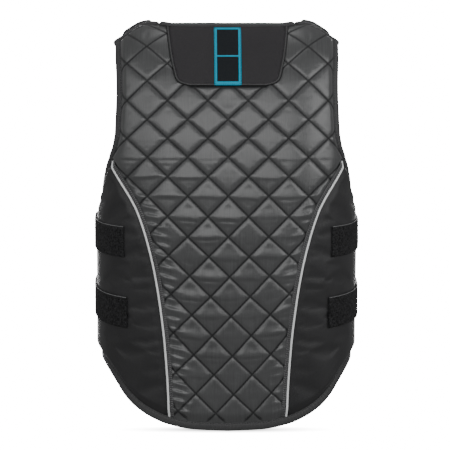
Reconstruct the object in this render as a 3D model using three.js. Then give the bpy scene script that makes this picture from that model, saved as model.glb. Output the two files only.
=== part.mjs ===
// Padded riding vest in its worn form. Lengths are millimetres and +Z is up.
// The wearer's back faces -Y, and the origin lies between the places where the inner shoulders rest.
import * as THREE from 'three';

// Whole vest
const vestHeight = 563;          // shoulder tops to the lowest point of the hem
const shoulderRise = 27;         // shoulder tops above the origin
const halfWidth = 177;           // middle to side at the chest
const backDepth = 132;           // origin to the furthest point of the back
const frontDepth = 122;          // origin to the furthest point of the chest
const roundness = 3;             // power of the rounded-box section, 2 is an ellipse

// Pads and their edges
const padThickness = 20;
const rimThickness = 9;          // of a pad where a binding closes its edge
const taperWidth = 26;           // over which a pad thins towards a bound edge
const seamDip = 2.6;             // how deep the outer face is drawn in at the piped seam
const seamWidth = 12;            // over which it is drawn in
const pieceGap = 0.4;            // clearance of neighbouring pieces

// Trim
const bindingWidth = 9;
const neckBindingWidth = 7;
const bindingProud = 1;          // how far a binding stands off the face that it closes
const bindingChamfer = 0.3;      // of its outer corners, as a share of its width
const mitreLimit = 0.6;          // least cosine that lengthens a bend's mitre
const nodeGap = 2.4;             // nodes of joined edges closer together than this are one
const pipingThickness = 4;
const yokeThickness = 2;
const yokePress = 0.7;           // how far the pad gives way under the yoke
const yokeMargin = 3;            // and for how far round it
const labelWidth = 37;
const labelHeight = 78;
const labelThickness = 1;

// Quilting
const quiltHalfWidth = 27.4;     // half a diamond, across
const quiltHalfHeight = 27;      // half a diamond, upwards
const quiltDepth = 3.5;          // of the sewn lines below the crowns
const quiltSnap = 4;             // nodes nearer to an edge than this move onto it

// Straps, zip and shoulder tabs
const strapWidth = 41;
const strapThickness = 3;
const strapLift = 0.8;           // of a strap above the pad that it lies on
const sideGap = 2;               // between the bindings of back and front at the side
const shoulderGap = 8;           // between them at the shoulder, over the tab
const zipWidth = 8;
const zipThickness = 7;
const tabThickness = 3;
const tabWidth = 34;
const cornerTrim = 2.4;          // by which a binding stops short of a corner that it shares
const tabReach = 21;             // of a shoulder tab under the back's pad
const tabShares = [1, 0.9, 0.8]; // places on the front's shoulder that it passes under

const degree = Math.PI / 180;

// Horizontal sections from the shoulder tops down, as shares of vestHeight, halfWidth and the depths
const sections = [
  { down: 0.000, width: 0.690, back: 0.450, front: 0.560 },
  { down: 0.012, width: 0.758, back: 0.512, front: 0.580 },
  { down: 0.030, width: 0.843, back: 0.576, front: 0.610 },
  { down: 0.048, width: 0.899, back: 0.629, front: 0.650 },
  { down: 0.066, width: 0.925, back: 0.674, front: 0.690 },
  { down: 0.107, width: 0.950, back: 0.758, front: 0.760 },
  { down: 0.155, width: 0.966, back: 0.831, front: 0.830 },
  { down: 0.243, width: 0.983, back: 0.915, front: 0.935 },
  { down: 0.314, width: 0.994, back: 0.962, front: 0.985 },
  { down: 0.410, width: 0.999, back: 0.995, front: 1.000 },
  { down: 0.474, width: 1.000, back: 1.000, front: 0.985 },
  { down: 0.634, width: 1.000, back: 0.962, front: 0.930 },
  { down: 0.812, width: 0.995, back: 0.885, front: 0.890 },
  { down: 1.000, width: 0.980, back: 0.800, front: 0.870 },
];

// Back armhole edge from the shoulder down: turn in degrees, 0 at the middle of the back, 90 at the side
const armhole = [
  { down: 0.047, turn: 60.6 },
  { down: 0.073, turn: 56.9 },
  { down: 0.147, turn: 52.2 },
  { down: 0.199, turn: 51.3 },
  { down: 0.275, turn: 51.4 },
  { down: 0.314, turn: 53.2 },
  { down: 0.343, turn: 57.2 },
];

// Armhole edge under the arm, from the piped seam to the side
const underarm = [
  { turn: 57.2, down: 0.343 },
  { turn: 61.0, down: 0.361 },
  { turn: 66.5, down: 0.392 },
  { turn: 72.0, down: 0.421 },
  { turn: 78.0, down: 0.447 },
  { turn: 85.0, down: 0.467 },
  { turn: 92.0, down: 0.478 },
];

// Piped seam between the quilted middle and the side
const pipedSeam = [
  { down: 0.343, turn: 57.2 },
  { down: 0.364, turn: 53.6 },
  { down: 0.385, turn: 49.9 },
  { down: 0.412, turn: 45.6 },
  { down: 0.442, turn: 41.6 },
  { down: 0.473, turn: 38.6 },
  { down: 0.540, turn: 34.5 },
  { down: 0.618, turn: 31.2 },
  { down: 0.698, turn: 28.9 },
  { down: 0.801, turn: 26.9 },
  { down: 0.911, turn: 25.8 },
  { down: 1.000, turn: 25.5 },
];

// Hem edge all the way from the middle of the back to the middle of the front
const hem = [
  { turn: 0, down: 0.986 },
  { turn: 15, down: 0.982 },
  { turn: 25, down: 0.971 },
  { turn: 33, down: 0.952 },
  { turn: 39.5, down: 0.929 },
  { turn: 45, down: 0.903 },
  { turn: 51, down: 0.870 },
  { turn: 59, down: 0.840 },
  { turn: 69, down: 0.819 },
  { turn: 82, down: 0.808 },
  { turn: 96, down: 0.802 },
  { turn: 120, down: 0.798 },
  { turn: 150, down: 0.815 },
  { turn: 180, down: 0.823 },
];

// Top edge of the back from the middle of the neck to the shoulder corner: shares of halfWidth and vestHeight
const topEdge = [
  { across: 0.000, down: 0.0125 },
  { across: 0.430, down: 0.0115 },
  { across: 0.500, down: 0.0070 },
  { across: 0.545, down: 0.0060 },
  { across: 0.618, down: 0.0030 },
  { across: 0.856, down: 0.0460 },
];

// Half width of the yoke from its upper edge down
const yokeRows = [
  { down: 0.016, across: 0.461 },
  { down: 0.055, across: 0.447 },
  { down: 0.090, across: 0.432 },
  { down: 0.118, across: 0.414 },
  { down: 0.138, across: 0.392 },
  { down: 0.151, across: 0.362 },
  { down: 0.159, across: 0.320 },
  { down: 0.162, across: 0.262 },
];

// Front half between the side and the chest line: outer turn at side or armhole, inner turn at zip or neck
const frontRows = [
  { down: 0.478, outer: 0, inner: 180 },
  { down: 0.465, outer: 108.0, inner: 180 },
  { down: 0.440, outer: 118.0, inner: 180 },
  { down: 0.407, outer: 125.6, inner: 180 },
  { down: 0.368, outer: 132.0, inner: 180 },
  { down: 0.314, outer: 136.6, inner: 180 },
  { down: 0.243, outer: 138.0, inner: 180 },
  { down: 0.226, outer: 137.8, inner: 180 },
  { down: 0.219, outer: 137.6, inner: 173.0 },
  { down: 0.205, outer: 137.2, inner: 166.4 },
  { down: 0.183, outer: 136.6, inner: 161.2 },
  { down: 0.155, outer: 136.0, inner: 157.4 },
];

// Waist straps: down at the side and at the end on the back, with the turn of that end
const straps = [
  { name: 'upper', side: 0.522, end: 0.5435, endTurn: 45.3 },
  { name: 'lower', side: 0.682, end: 0.7149, endTurn: 43.7 },
];
const strapFrontTurn = 126;
const sideTurn = 92;

// Front shoulder: a curve whose handles are shares of its rise and of its run
const frontShoulderSteps = 6;
const riseHandle = 0.75;
const leanHandle = 0.35;
const runHandle = 0.4;
const tabSteps = 3;

// Value of a column between the rows of a table, on a smooth curve that never overshoots them
function along(rows, key, column, at) {
  const last = rows.length - 1;
  const place = Math.min(Math.max(at, rows[0][key]), rows[last][key]);
  let i = 0;
  while (i < last - 1 && place > rows[i + 1][key]) i += 1;
  const secant = (k) => (rows[k + 1][column] - rows[k][column]) / (rows[k + 1][key] - rows[k][key]);
  const slope = (k) => {
    if (k === 0) return secant(0);
    if (k === last) return secant(last - 1);
    const before = secant(k - 1);
    const after = secant(k);
    return before * after <= 0 ? 0 : (2 * before * after) / (before + after);
  };
  const run = rows[i + 1][key] - rows[i][key];
  const t = (place - rows[i][key]) / run;
  const rest = 1 - t;
  return rows[i][column] * rest * rest * (1 + 2 * t) + rows[i + 1][column] * t * t * (3 - 2 * t)
    + run * t * rest * (slope(i) * rest - slope(i + 1) * t);
}

const heightAt = (down) => shoulderRise - down * vestHeight;
const downAt = (z) => (shoulderRise - z) / vestHeight;
const sectionAt = (column, z) => along(sections, 'down', column, downAt(z));
const mix = (a, b, t) => a + (b - a) * t;

// Point of the outer face at a turn and a height: a rounded box, |x/w|^n + |y/d|^n = 1
function shell(turn, z) {
  const sine = Math.sin(turn * degree);
  const cosine = Math.cos(turn * degree);
  const reach = (Math.abs(sine) ** roundness + Math.abs(cosine) ** roundness) ** (-1 / roundness);
  const depth = cosine > 0 ? backDepth * sectionAt('back', z) : frontDepth * sectionAt('front', z);
  return new THREE.Vector3(halfWidth * sectionAt('width', z) * reach * sine, -depth * reach * cosine, z);
}

// Outward direction of the outer face
function shellNormal(turn, z) {
  const step = 0.2;
  const across = shell(turn + step, z).sub(shell(turn - step, z));
  const up = shell(turn, z + step).sub(shell(turn, z - step));
  return across.cross(up).normalize();
}

// Turn of the back's outer face at a distance from the middle
function turnAcross(across, z) {
  const share = Math.min(Math.abs(across) / (halfWidth * sectionAt('width', z)), 0.9999);
  return Math.sign(across) * Math.atan2(share, (1 - share ** roundness) ** (1 / roundness)) / degree;
}

// Turn a given length further round the section
function turnPast(turn, z, length) {
  return turn + length / shell(turn + 0.5, z).distanceTo(shell(turn - 0.5, z));
}

const smooth = (t) => {
  const s = Math.min(Math.max(t, 0), 1);
  return s * s * (3 - 2 * s);
};

// How far the faces of a pad are drawn in at a distance from a bound edge, and from a piped seam
const taperAt = (distance) => (padThickness - rimThickness) / 2 * (1 - smooth(distance / taperWidth));
const dipAt = (distance) => seamDip * (1 - smooth(distance / seamWidth));

const armholeTurn = (z) => along(armhole, 'down', 'turn', downAt(z));
const seamTurn = (z) => along(pipedSeam, 'down', 'turn', downAt(z));
const underarmHeight = (turn) => heightAt(along(underarm, 'turn', 'down', turn));
const hemHeight = (turn) => heightAt(along(hem, 'turn', 'down', Math.abs(turn)));
const topHeight = (x) => heightAt(along(topEdge, 'across', 'down', Math.abs(x) / halfWidth));

const seamHead = heightAt(pipedSeam[0].down);
const seamFoot = hemHeight(pipedSeam[pipedSeam.length - 1].turn);
const shoulderCorner = heightAt(armhole[0].down);
const frontSideTurn = (z) => turnPast(sideTurn, z, 2 * bindingWidth + sideGap);

// A solid from merged nodes and triangles whose corners run anticlockwise seen from outside
function solid(points, triangles) {
  const geometry = new THREE.BufferGeometry();
  geometry.setAttribute('position', new THREE.Float32BufferAttribute(points.flatMap((p) => p.toArray()), 3));
  geometry.setIndex(triangles.flat());
  geometry.computeVertexNormals();
  return geometry;
}

// A padded sheet: an outer and an inner face over one net of nodes, closed by a wall round the rim.
// A node has a point and a normal of the outer face, and the offsets of both faces along that normal.
function paddedSheet(nodes, faces) {
  const index = new Map();
  const kept = [];
  const merged = nodes.map((node) => {
    const key = node.point.toArray().map((value) => value.toFixed(3)).join();
    if (!index.has(key)) {
      index.set(key, kept.length);
      kept.push(node);
    }
    return index.get(key);
  });
  const sheet = faces.map((face) => face.map((k) => merged[k]))
    .filter(([a, b, c]) => a !== b && b !== c && c !== a);
  const edges = new Map();
  sheet.forEach(([a, b, c]) => [[a, b], [b, c], [c, a]].forEach(([from, to]) => {
    if (!edges.delete(`${to},${from}`)) edges.set(`${from},${to}`, [from, to]);
  }));
  const next = new Map(edges.values());
  const rimIndex = [...next.keys()].slice(0, 1);
  while (rimIndex.length < next.size) rimIndex.push(next.get(rimIndex[rimIndex.length - 1]));
  const face = (offset) => kept.map((node) => node.point.clone().addScaledVector(node.normal, node[offset]));
  const count = kept.length;
  const triangles = sheet.flatMap(([a, b, c]) => [[a, b, c], [a + count, c + count, b + count]]);
  edges.forEach(([a, b]) => triangles.push([a, a + count, b + count], [a, b + count, b]));
  return { geometry: solid([...face('outer'), ...face('inner')], triangles), rim: rimIndex.map((k) => kept[k]) };
}

// Triangles of a net of columns and rows, counted row by row
function netFaces(columns, rows, rising = () => true) {
  const faces = [];
  for (let j = 0; j + 1 < rows; j += 1) {
    for (let i = 0; i + 1 < columns; i += 1) {
      const a = j * columns + i;
      const c = a + columns;
      if (rising(i, j)) faces.push([a, a + 1, c + 1], [a, c + 1, c]);
      else faces.push([a, a + 1, c], [a + 1, c + 1, c]);
    }
  }
  return faces;
}

// The same solid on the other side of the middle plane
function mirrored(geometry) {
  const copy = geometry.clone().scale(-1, 1, 1);
  const corners = [...copy.index.array];
  for (let k = 0; k < corners.length; k += 3) [corners[k], corners[k + 1]] = [corners[k + 1], corners[k]];
  copy.setIndex(corners);
  copy.computeVertexNormals();
  return copy;
}

const mirrorPoint = (v) => new THREE.Vector3(-v.x, v.y, v.z);
const mirrorNodes = (nodes) => nodes.map((node) => ({
  ...node, point: mirrorPoint(node.point), normal: mirrorPoint(node.normal),
})).reverse();

// The nodes of a rim from the one nearest to a point to the one nearest to another, panel on the left
function rimStretch(rim, from, to) {
  const nearest = (point) => rim.reduce((best, node, k) => (
    node.point.distanceTo(point) < rim[best].point.distanceTo(point) ? k : best), 0);
  const start = nearest(from);
  const length = (nearest(to) - start + rim.length) % rim.length;
  return Array.from({ length: length + 1 }, (_, k) => rim[(start + k) % rim.length]);
}

// A strip with a convex section carried along nodes, the section in steps away from the panel and outwards.
// At a bend the steps away are lengthened as a mitre is.
function strip(nodes, sectionOf) {
  const count = nodes.length;
  const points = [];
  nodes.forEach((node, k) => {
    const run = (from) => nodes[from + 1].point.clone().sub(nodes[from].point).cross(node.normal).normalize();
    const before = run(Math.max(k - 1, 0));
    const after = run(Math.min(k, count - 2));
    const away = before.clone().add(after).normalize();
    away.divideScalar(Math.max(away.dot(after), mitreLimit));
    sectionOf(node).forEach(([side, out]) => points.push(
      node.point.clone().addScaledVector(away, side).addScaledVector(node.normal, out)));
  });
  const corners = points.length / count;
  const triangles = [];
  for (let k = 0; k + 1 < count; k += 1) {
    for (let i = 0; i < corners; i += 1) {
      const a = k * corners + i;
      const b = k * corners + (i + 1) % corners;
      triangles.push([a, b + corners, b], [a, a + corners, b + corners]);
    }
  }
  const end = (count - 1) * corners;
  for (let i = 1; i + 1 < corners; i += 1) {
    triangles.push([0, i, i + 1], [end, end + i + 1, end + i]);
  }
  return solid(points, triangles);
}

// Nodes of joined stretches, without those that lie closer together than nodeGap
const joined = (...stretches) => stretches.flat().reduce((list, node) => {
  const last = list[list.length - 1];
  return last && last.point.distanceTo(node.point) < nodeGap ? list : [...list, node];
}, []);

// The same nodes with both ends drawn back along the way
function trimmed(nodes, atStart, atEnd) {
  const drawn = (node, towards, length) => ({
    ...node, point: node.point.clone().add(towards.point.clone().sub(node.point).setLength(length)),
  });
  const last = nodes.length - 1;
  return nodes.map((node, k) => {
    if (k === 0 && atStart) return drawn(node, nodes[1], atStart);
    if (k === last && atEnd) return drawn(node, nodes[last - 1], atEnd);
    return node;
  });
}

// Section of a binding: it closes the rim and stands a little proud of both faces
const bindingSection = (width, proudOut) => ({ outer, inner }) => {
  const high = outer + proudOut;
  const low = inner - bindingProud;
  const chamfer = width * bindingChamfer;
  return [
    [pieceGap, high], [pieceGap, low], [width - chamfer, low],
    [width, low + chamfer], [width, high - chamfer], [width - chamfer, high],
  ];
};

// Depth of the quilting: crowned diamonds between sewn lines, deepest on the lines
const quiltCrossing = heightAt(0.238);
function quiltRelief(x, z) {
  const across = x / quiltHalfWidth;
  const up = (z - quiltCrossing) / quiltHalfHeight;
  const crown = Math.sin(Math.PI * (across + up) / 2) * Math.sin(Math.PI * (across - up) / 2);
  return -quiltDepth * (1 - Math.sqrt(Math.abs(crown)));
}

// Edge of the back as a polyline of flattened turn and height, for the distance of a point from it
const flatRadius = 0.9 * halfWidth;
const flat = (turn, z) => new THREE.Vector2(turn * degree * flatRadius, z);
const backEdge = [
  ...topEdge.map(({ across, down }) => flat(turnAcross(across * halfWidth, heightAt(down)), heightAt(down))),
  ...armhole.map(({ turn, down }) => flat(turn, heightAt(down))),
  ...underarm.slice(1).map(({ turn, down }) => flat(turn, heightAt(down))),
  flat(sideTurn, hemHeight(sideTurn)),
  ...hem.filter(({ turn }) => turn < sideTurn).reverse().map(({ turn, down }) => flat(turn, heightAt(down))),
];
function edgeDistance(turn, z) {
  const place = flat(Math.abs(turn), z);
  return backEdge.slice(1).reduce((least, to, k) => {
    const run = to.clone().sub(backEdge[k]);
    const t = Math.min(Math.max(place.clone().sub(backEdge[k]).dot(run) / run.lengthSq(), 0), 1);
    return Math.min(least, backEdge[k].clone().addScaledVector(run, t).distanceTo(place));
  }, Infinity);
}

// Offsets of the two faces of the back pad
function backNode(turn, z) {
  const taper = taperAt(edgeDistance(turn, z));
  const seamAway = Math.abs(Math.abs(turn) - seamTurn(z)) * degree * flatRadius;
  const dip = z < seamHead ? dipAt(seamAway) : 0;
  const point = shell(turn, z);
  return { point, normal: shellNormal(turn, z), outer: -taper - dip, inner: taper - padThickness };
}

// Whether a place on the back lies under the yoke
const yokeFloor = yokeRows[yokeRows.length - 1].down;
const underYoke = (x, z) => z > heightAt(yokeFloor) - yokeMargin
  && Math.abs(x) < halfWidth * along(yokeRows, 'down', 'across', downAt(z)) + yokeMargin;

// Quilted middle of the back: a net on the quilting's own half steps, cut at the edges
function quiltedBack() {
  const stepAcross = quiltHalfWidth / 2;
  const stepUp = quiltHalfHeight / 2;
  const reach = Math.ceil(halfWidth / stepAcross);
  const low = Math.floor((heightAt(1) - quiltCrossing) / stepUp);
  const high = Math.ceil((heightAt(0) - quiltCrossing) / stepUp);
  const columns = 2 * reach + 1;
  const rows = high - low + 1;
  const nodes = [];
  for (let j = low; j <= high; j += 1) {
    for (let i = -reach; i <= reach; i += 1) {
      const row = quiltCrossing + j * stepUp;
      const level = Math.min(Math.max(row, seamFoot), shoulderCorner);
      const edgeTurn = level > seamHead ? armholeTurn(level) : turnPast(seamTurn(level), level, -pieceGap);
      const edge = shell(edgeTurn, level).x;
      const x = Math.abs(i * stepAcross) > edge - quiltSnap ? Math.sign(i) * edge : i * stepAcross;
      const foot = hemHeight(turnAcross(x, seamFoot));
      const head = topHeight(x);
      let z = row;
      if (row < foot + quiltSnap) z = foot;
      if (row > head - quiltSnap) z = head;
      const node = backNode(turnAcross(x, z), z);
      const fade = smooth(edgeDistance(turnAcross(x, z), z) / seamWidth);
      const press = underYoke(x, z) ? yokePress : 0;
      nodes.push({ ...node, outer: node.outer + quiltRelief(x, z) * fade - press });
    }
  }
  return paddedSheet(nodes, netFaces(columns, rows, (i, j) => (i - reach + j + low) % 2 === 0));
}

// Side of the back: a patch between seam, side edge, hem and armhole
function sideWing() {
  const columns = 8;
  const rows = 22;
  const seamAt = (v) => {
    const z = mix(seamFoot, seamHead, v);
    return [turnPast(seamTurn(z), z, pieceGap), z];
  };
  const [footTurn] = seamAt(0);
  const [headTurn] = seamAt(1);
  const sideFoot = hemHeight(sideTurn);
  const sideHead = underarmHeight(sideTurn);
  const nodes = [];
  for (let j = 0; j < rows; j += 1) {
    for (let i = 0; i < columns; i += 1) {
      const u = i / (columns - 1);
      const v = j / (rows - 1);
      const [seamTurnHere, seamHeight] = seamAt(v);
      const below = mix(footTurn, sideTurn, u);
      const above = mix(headTurn, sideTurn, u);
      const sideHeight = mix(sideFoot, sideHead, v);
      const turn = mix(below, above, v) + (1 - u) * (seamTurnHere - mix(footTurn, headTurn, v));
      const z = mix(hemHeight(below), underarmHeight(above), v)
        + (1 - u) * (seamHeight - mix(hemHeight(footTurn), underarmHeight(headTurn), v))
        + u * (sideHeight - mix(sideFoot, sideHead, v));
      nodes.push(backNode(turn, z));
    }
  }
  return paddedSheet(nodes, netFaces(columns, rows));
}

// Nodes of a net of points, with normals and the pad's taper worked out from the net itself
function padNet(net) {
  const rows = net.length;
  const columns = net[0].length;
  const lengths = (points) => points.reduce((sums, point, k) => (
    [...sums, k ? sums[k - 1] + point.distanceTo(points[k - 1]) : 0]), []);
  const rowSums = net.map(lengths);
  const columnSums = net[0].map((_, i) => lengths(net.map((row) => row[i])));
  const nodes = [];
  for (let j = 0; j < rows; j += 1) {
    for (let i = 0; i < columns; i += 1) {
      const across = net[j][Math.min(i + 1, columns - 1)].clone().sub(net[j][Math.max(i - 1, 0)]);
      const up = net[Math.min(j + 1, rows - 1)][i].clone().sub(net[Math.max(j - 1, 0)][i]);
      const distance = Math.min(
        rowSums[j][i], rowSums[j][columns - 1] - rowSums[j][i],
        columnSums[i][j], columnSums[i][rows - 1] - columnSums[i][j]);
      const taper = taperAt(distance);
      nodes.push({
        point: net[j][i], normal: across.cross(up).normalize(), outer: -taper, inner: taper - padThickness,
      });
    }
  }
  return paddedSheet(nodes, netFaces(columns, rows));
}

// End of the back's shoulder pad, from its outer corner (share 0) to the neck (share 1)
const shoulderInner = 0.545;
const shoulderOuter = topEdge[topEdge.length - 1].across;
function shoulderEnd(share) {
  const x = mix(shoulderOuter, shoulderInner, share) * halfWidth;
  return backNode(turnAcross(x, topHeight(x)), topHeight(x));
}

// Where the front's shoulder pad starts, clear of the binding that closes the back's
function frontStart(share) {
  const { point, normal, inner } = shoulderEnd(share);
  const endLine = shoulderEnd(1).point.sub(shoulderEnd(0).point);
  const away = endLine.cross(normal).normalize();
  const forward = bindingWidth * away.y + (inner - bindingProud) * normal.y;
  return point.clone().add(new THREE.Vector3(0, forward + shoulderGap + bindingWidth, bindingWidth * away.z));
}

// Front shoulder, from the chest line (t = 0) over the shoulder to the end of the back (t = 1)
const chestRow = frontRows[frontRows.length - 1];
const neckRow = frontRows.filter(({ inner }) => inner === 180).pop();
function frontShoulder(share, t) {
  const base = heightAt(chestRow.down);
  const start = shell(mix(chestRow.outer, chestRow.inner, share), base);
  const end = frontStart(share);
  const rise = (end.z - start.z) * riseHandle;
  const curve = new THREE.CubicBezierCurve3(
    start, start.clone().add(new THREE.Vector3(0, -rise * leanHandle, rise)),
    end.clone().add(new THREE.Vector3(0, (start.y - end.y) * runHandle, 0)), end);
  return curve.getPoint(t);
}

// Front half: side and hem up to the armpit, then armhole and neck edge, then the shoulder
function frontPanel() {
  const columns = 9;
  const share = (i) => i / (columns - 1);
  const middleTurn = (z) => turnPast(180, z, -zipWidth / 2);
  const net = [];
  const armpit = frontRows[0].down;
  const lowRows = 7;
  for (let j = 0; j < lowRows; j += 1) {
    net.push(Array.from({ length: columns }, (_, i) => {
      const rough = mix(hemHeight(sideTurn), heightAt(armpit), j / lowRows);
      const turn = mix(frontSideTurn(rough), middleTurn(rough), share(i));
      return shell(turn, mix(hemHeight(turn), heightAt(armpit), j / lowRows));
    }));
  }
  frontRows.forEach(({ down, outer, inner }) => {
    const z = heightAt(down);
    const from = Math.max(outer, frontSideTurn(z));
    const to = Math.min(inner, middleTurn(z));
    net.push(Array.from({ length: columns }, (_, i) => shell(mix(from, to, share(i)), z)));
  });
  for (let j = 1; j <= frontShoulderSteps; j += 1) {
    net.push(Array.from({ length: columns }, (_, i) => frontShoulder(share(i), j / frontShoulderSteps)));
  }
  return padNet(net);
}

// A thin sheet over rows of turns and heights, lifted off the back pad
function backSheet(turns, heights, lift, thickness) {
  const nodes = heights.flatMap((z, j) => turns(j).map((turn) => {
    const { point, normal, outer } = backNode(turn, z);
    return { point, normal, outer: outer + lift + thickness, inner: outer + lift };
  }));
  return paddedSheet(nodes, netFaces(turns(0).length, heights.length));
}

// Yoke under the neck and the label on it
function neckYoke() {
  const columns = 13;
  const rows = [...yokeRows].reverse();
  const heights = rows.map(({ down }) => heightAt(down));
  const turns = (j) => Array.from({ length: columns }, (_, i) => (
    turnAcross((2 * i / (columns - 1) - 1) * rows[j].across * halfWidth, heights[j])));
  return backSheet(turns, heights, pieceGap, yokeThickness);
}
function yokeLabel() {
  const bottom = heightAt(yokeFloor) + bindingProud;
  const top = bottom + labelHeight;
  const between = yokeRows.map(({ down }) => heightAt(down)).filter((z) => z > bottom + labelThickness && z < top - labelThickness);
  const heights = [bottom, ...between.reverse(), top];
  const turns = (j) => [-1, -0.5, 0, 0.5, 1].map((share) => turnAcross(share * labelWidth / 2, heights[j]));
  return backSheet(turns, heights, 2 * pieceGap + yokeThickness, labelThickness);
}

// Cord in the piped seam
function piping() {
  const steps = 24;
  const head = seamHead - bindingWidth / 2;
  const foot = seamFoot + pieceGap;
  const radius = pipingThickness / 2;
  const nodes = Array.from({ length: steps + 1 }, (_, k) => {
    const z = mix(head, foot, k / steps);
    return backNode(seamTurn(z), z);
  });
  return strip(nodes, ({ outer }) => Array.from({ length: 8 }, (_, k) => {
    const angle = (k + 0.5) * Math.PI / 4;
    return [radius * Math.cos(angle), outer + 2 * pieceGap + radius + radius * Math.sin(angle)];
  }));
}

// Waist strap: sewn to the front half, round the side and down onto the back
function waistStrap({ side, end, endTurn }) {
  const columns = 14;
  const slope = (end - side) / (90 - endTurn);
  const nodes = [-0.5, 0, 0.5].flatMap((share) => Array.from({ length: columns }, (_, i) => {
    const turn = mix(endTurn, strapFrontTurn, i / (columns - 1));
    const z = heightAt(side + slope * (90 - turn)) + share * strapWidth;
    return {
      point: shell(turn, z), normal: shellNormal(turn, z), outer: strapLift + strapThickness, inner: strapLift,
    };
  }));
  return paddedSheet(nodes, netFaces(columns, 3));
}

// Tab under the shoulder joint, held by the inner faces of both pads
function shoulderTab() {
  const depth = padThickness + 2 * pieceGap;
  const middle = (shoulderOuter + shoulderInner) / 2 * halfWidth;
  const column = (x) => {
    const share = (shoulderOuter - x / halfWidth) / (shoulderOuter - shoulderInner);
    const back = Array.from({ length: tabSteps + 1 }, (_, i) => {
      const k = tabSteps - i;
      const z = topHeight(x) - k / tabSteps * tabReach;
      return shell(turnAcross(x, z), z);
    });
    return [...back, ...tabShares.map((t) => frontShoulder(share, t))];
  };
  const net = [-0.5, 0, 0.5].map((share) => column(middle + share * tabWidth));
  const nodes = net[0].flatMap((_, j) => net.map((points, i) => {
    const run = points[Math.min(j + 1, points.length - 1)].clone().sub(points[Math.max(j - 1, 0)]);
    const across = net[Math.min(i + 1, 2)][j].clone().sub(net[Math.max(i - 1, 0)][j]);
    const normal = across.cross(run).normalize();
    return { point: points[j], normal, outer: -depth, inner: -depth - tabThickness };
  }));
  return paddedSheet(nodes, netFaces(3, net[0].length));
}

// Closed zip between the two front halves, one plain bar
function frontZip() {
  const steps = 10;
  const head = heightAt(neckRow.down) - cornerTrim;
  const foot = hemHeight(180);
  const nodes = Array.from({ length: steps + 1 }, (_, k) => {
    const z = mix(head, foot, k / steps);
    return { point: shell(180, z), normal: new THREE.Vector3(0, 1, 0) };
  });
  const half = zipWidth / 2 - pieceGap;
  const middle = -padThickness / 2;
  return strip(nodes, () => [
    [-half, middle + zipThickness / 2], [-half, middle - zipThickness / 2],
    [half, middle - zipThickness / 2], [half, middle + zipThickness / 2],
  ]);
}

const quilted = quiltedBack();
const wing = sideWing();
const front = frontPanel();

// Corners that the bindings run between, on the +X side
const seamHeadPoint = shell(seamTurn(seamHead), seamHead);
const seamFootPoint = shell(seamTurn(seamFoot), seamFoot);
const shoulderCornerPoint = shoulderEnd(0).point;
const neckCornerPoint = shoulderEnd(1).point;
const sideHeadPoint = shell(sideTurn, underarmHeight(sideTurn));
const sideFootPoint = shell(sideTurn, hemHeight(sideTurn));
const frontTopPoint = shell(180, heightAt(neckRow.down));
const frontFootPoint = shell(180, hemHeight(180));

const backArmholeNodes = joined(
  rimStretch(wing.rim, sideHeadPoint, seamHeadPoint),
  rimStretch(quilted.rim, seamHeadPoint, shoulderCornerPoint));
const wingHemNodes = rimStretch(wing.rim, seamFootPoint, sideFootPoint);
const backHemNodes = joined(
  mirrorNodes(wingHemNodes), rimStretch(quilted.rim, mirrorPoint(seamFootPoint), seamFootPoint), wingHemNodes);

const shoulderNodes = rimStretch(quilted.rim, shoulderCornerPoint, neckCornerPoint);
const neckNodes = rimStretch(quilted.rim, neckCornerPoint, mirrorPoint(neckCornerPoint));
const frontNeckNodes = rimStretch(front.rim, frontTopPoint, frontShoulder(1, 1));
const frontEdgeNodes = rimStretch(front.rim, frontShoulder(1, 1), frontFootPoint);

const colours = {
  quilt: { color: 0x4a4b4d, roughness: 0.42 },
  plain: { color: 0x151516, roughness: 0.8 },
  yoke: { color: 0x39383a, roughness: 0.75 },
  binding: { color: 0x37373a, roughness: 0.7 },
  piping: { color: 0xd7dada, roughness: 0.3 },
  label: { color: 0x1ab2d6, roughness: 0.5 },
  strap: { color: 0x0f0f10, roughness: 0.9 },
};

const vest = new THREE.Group();
function add(name, geometry, finish) {
  const mesh = new THREE.Mesh(geometry, new THREE.MeshStandardMaterial({ metalness: 0, ...colours[finish] }));
  mesh.name = name;
  vest.add(mesh);
}
function addPair(name, geometry, finish) {
  add(`${name}_right`, geometry, finish);
  add(`${name}_left`, mirrored(geometry), finish);
}

add('back_panel_quilted', quilted.geometry, 'quilt');
addPair('back_wing', wing.geometry, 'plain');
addPair('piping', piping(), 'piping');
add('neck_yoke', neckYoke().geometry, 'yoke');
add('yoke_label', yokeLabel().geometry, 'label');
addPair('front_panel', front.geometry, 'plain');
add('front_zip', frontZip(), 'plain');
addPair('shoulder_tab', shoulderTab().geometry, 'plain');
straps.forEach((row) => addPair(`strap_${row.name}`, waistStrap(row).geometry, 'strap'));

const binding = bindingSection(bindingWidth, bindingProud);
addPair('back_armhole_binding', strip(backArmholeNodes, binding), 'binding');
addPair('back_side_binding', strip(rimStretch(wing.rim, sideFootPoint, sideHeadPoint), binding), 'binding');
addPair('back_shoulder_binding', strip(trimmed(shoulderNodes, 0, cornerTrim), binding), 'binding');
add('back_hem_binding', strip(backHemNodes, binding), 'binding');
add('back_neck_binding', strip(trimmed(neckNodes, cornerTrim, cornerTrim),
  bindingSection(neckBindingWidth, bindingProud + yokeThickness)), 'binding');
addPair('front_neck_binding', strip(trimmed(frontNeckNodes, cornerTrim, cornerTrim), binding), 'binding');
addPair('front_edge_binding', strip(trimmed(frontEdgeNodes, 0, cornerTrim), binding), 'binding');

export default vest;
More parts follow.
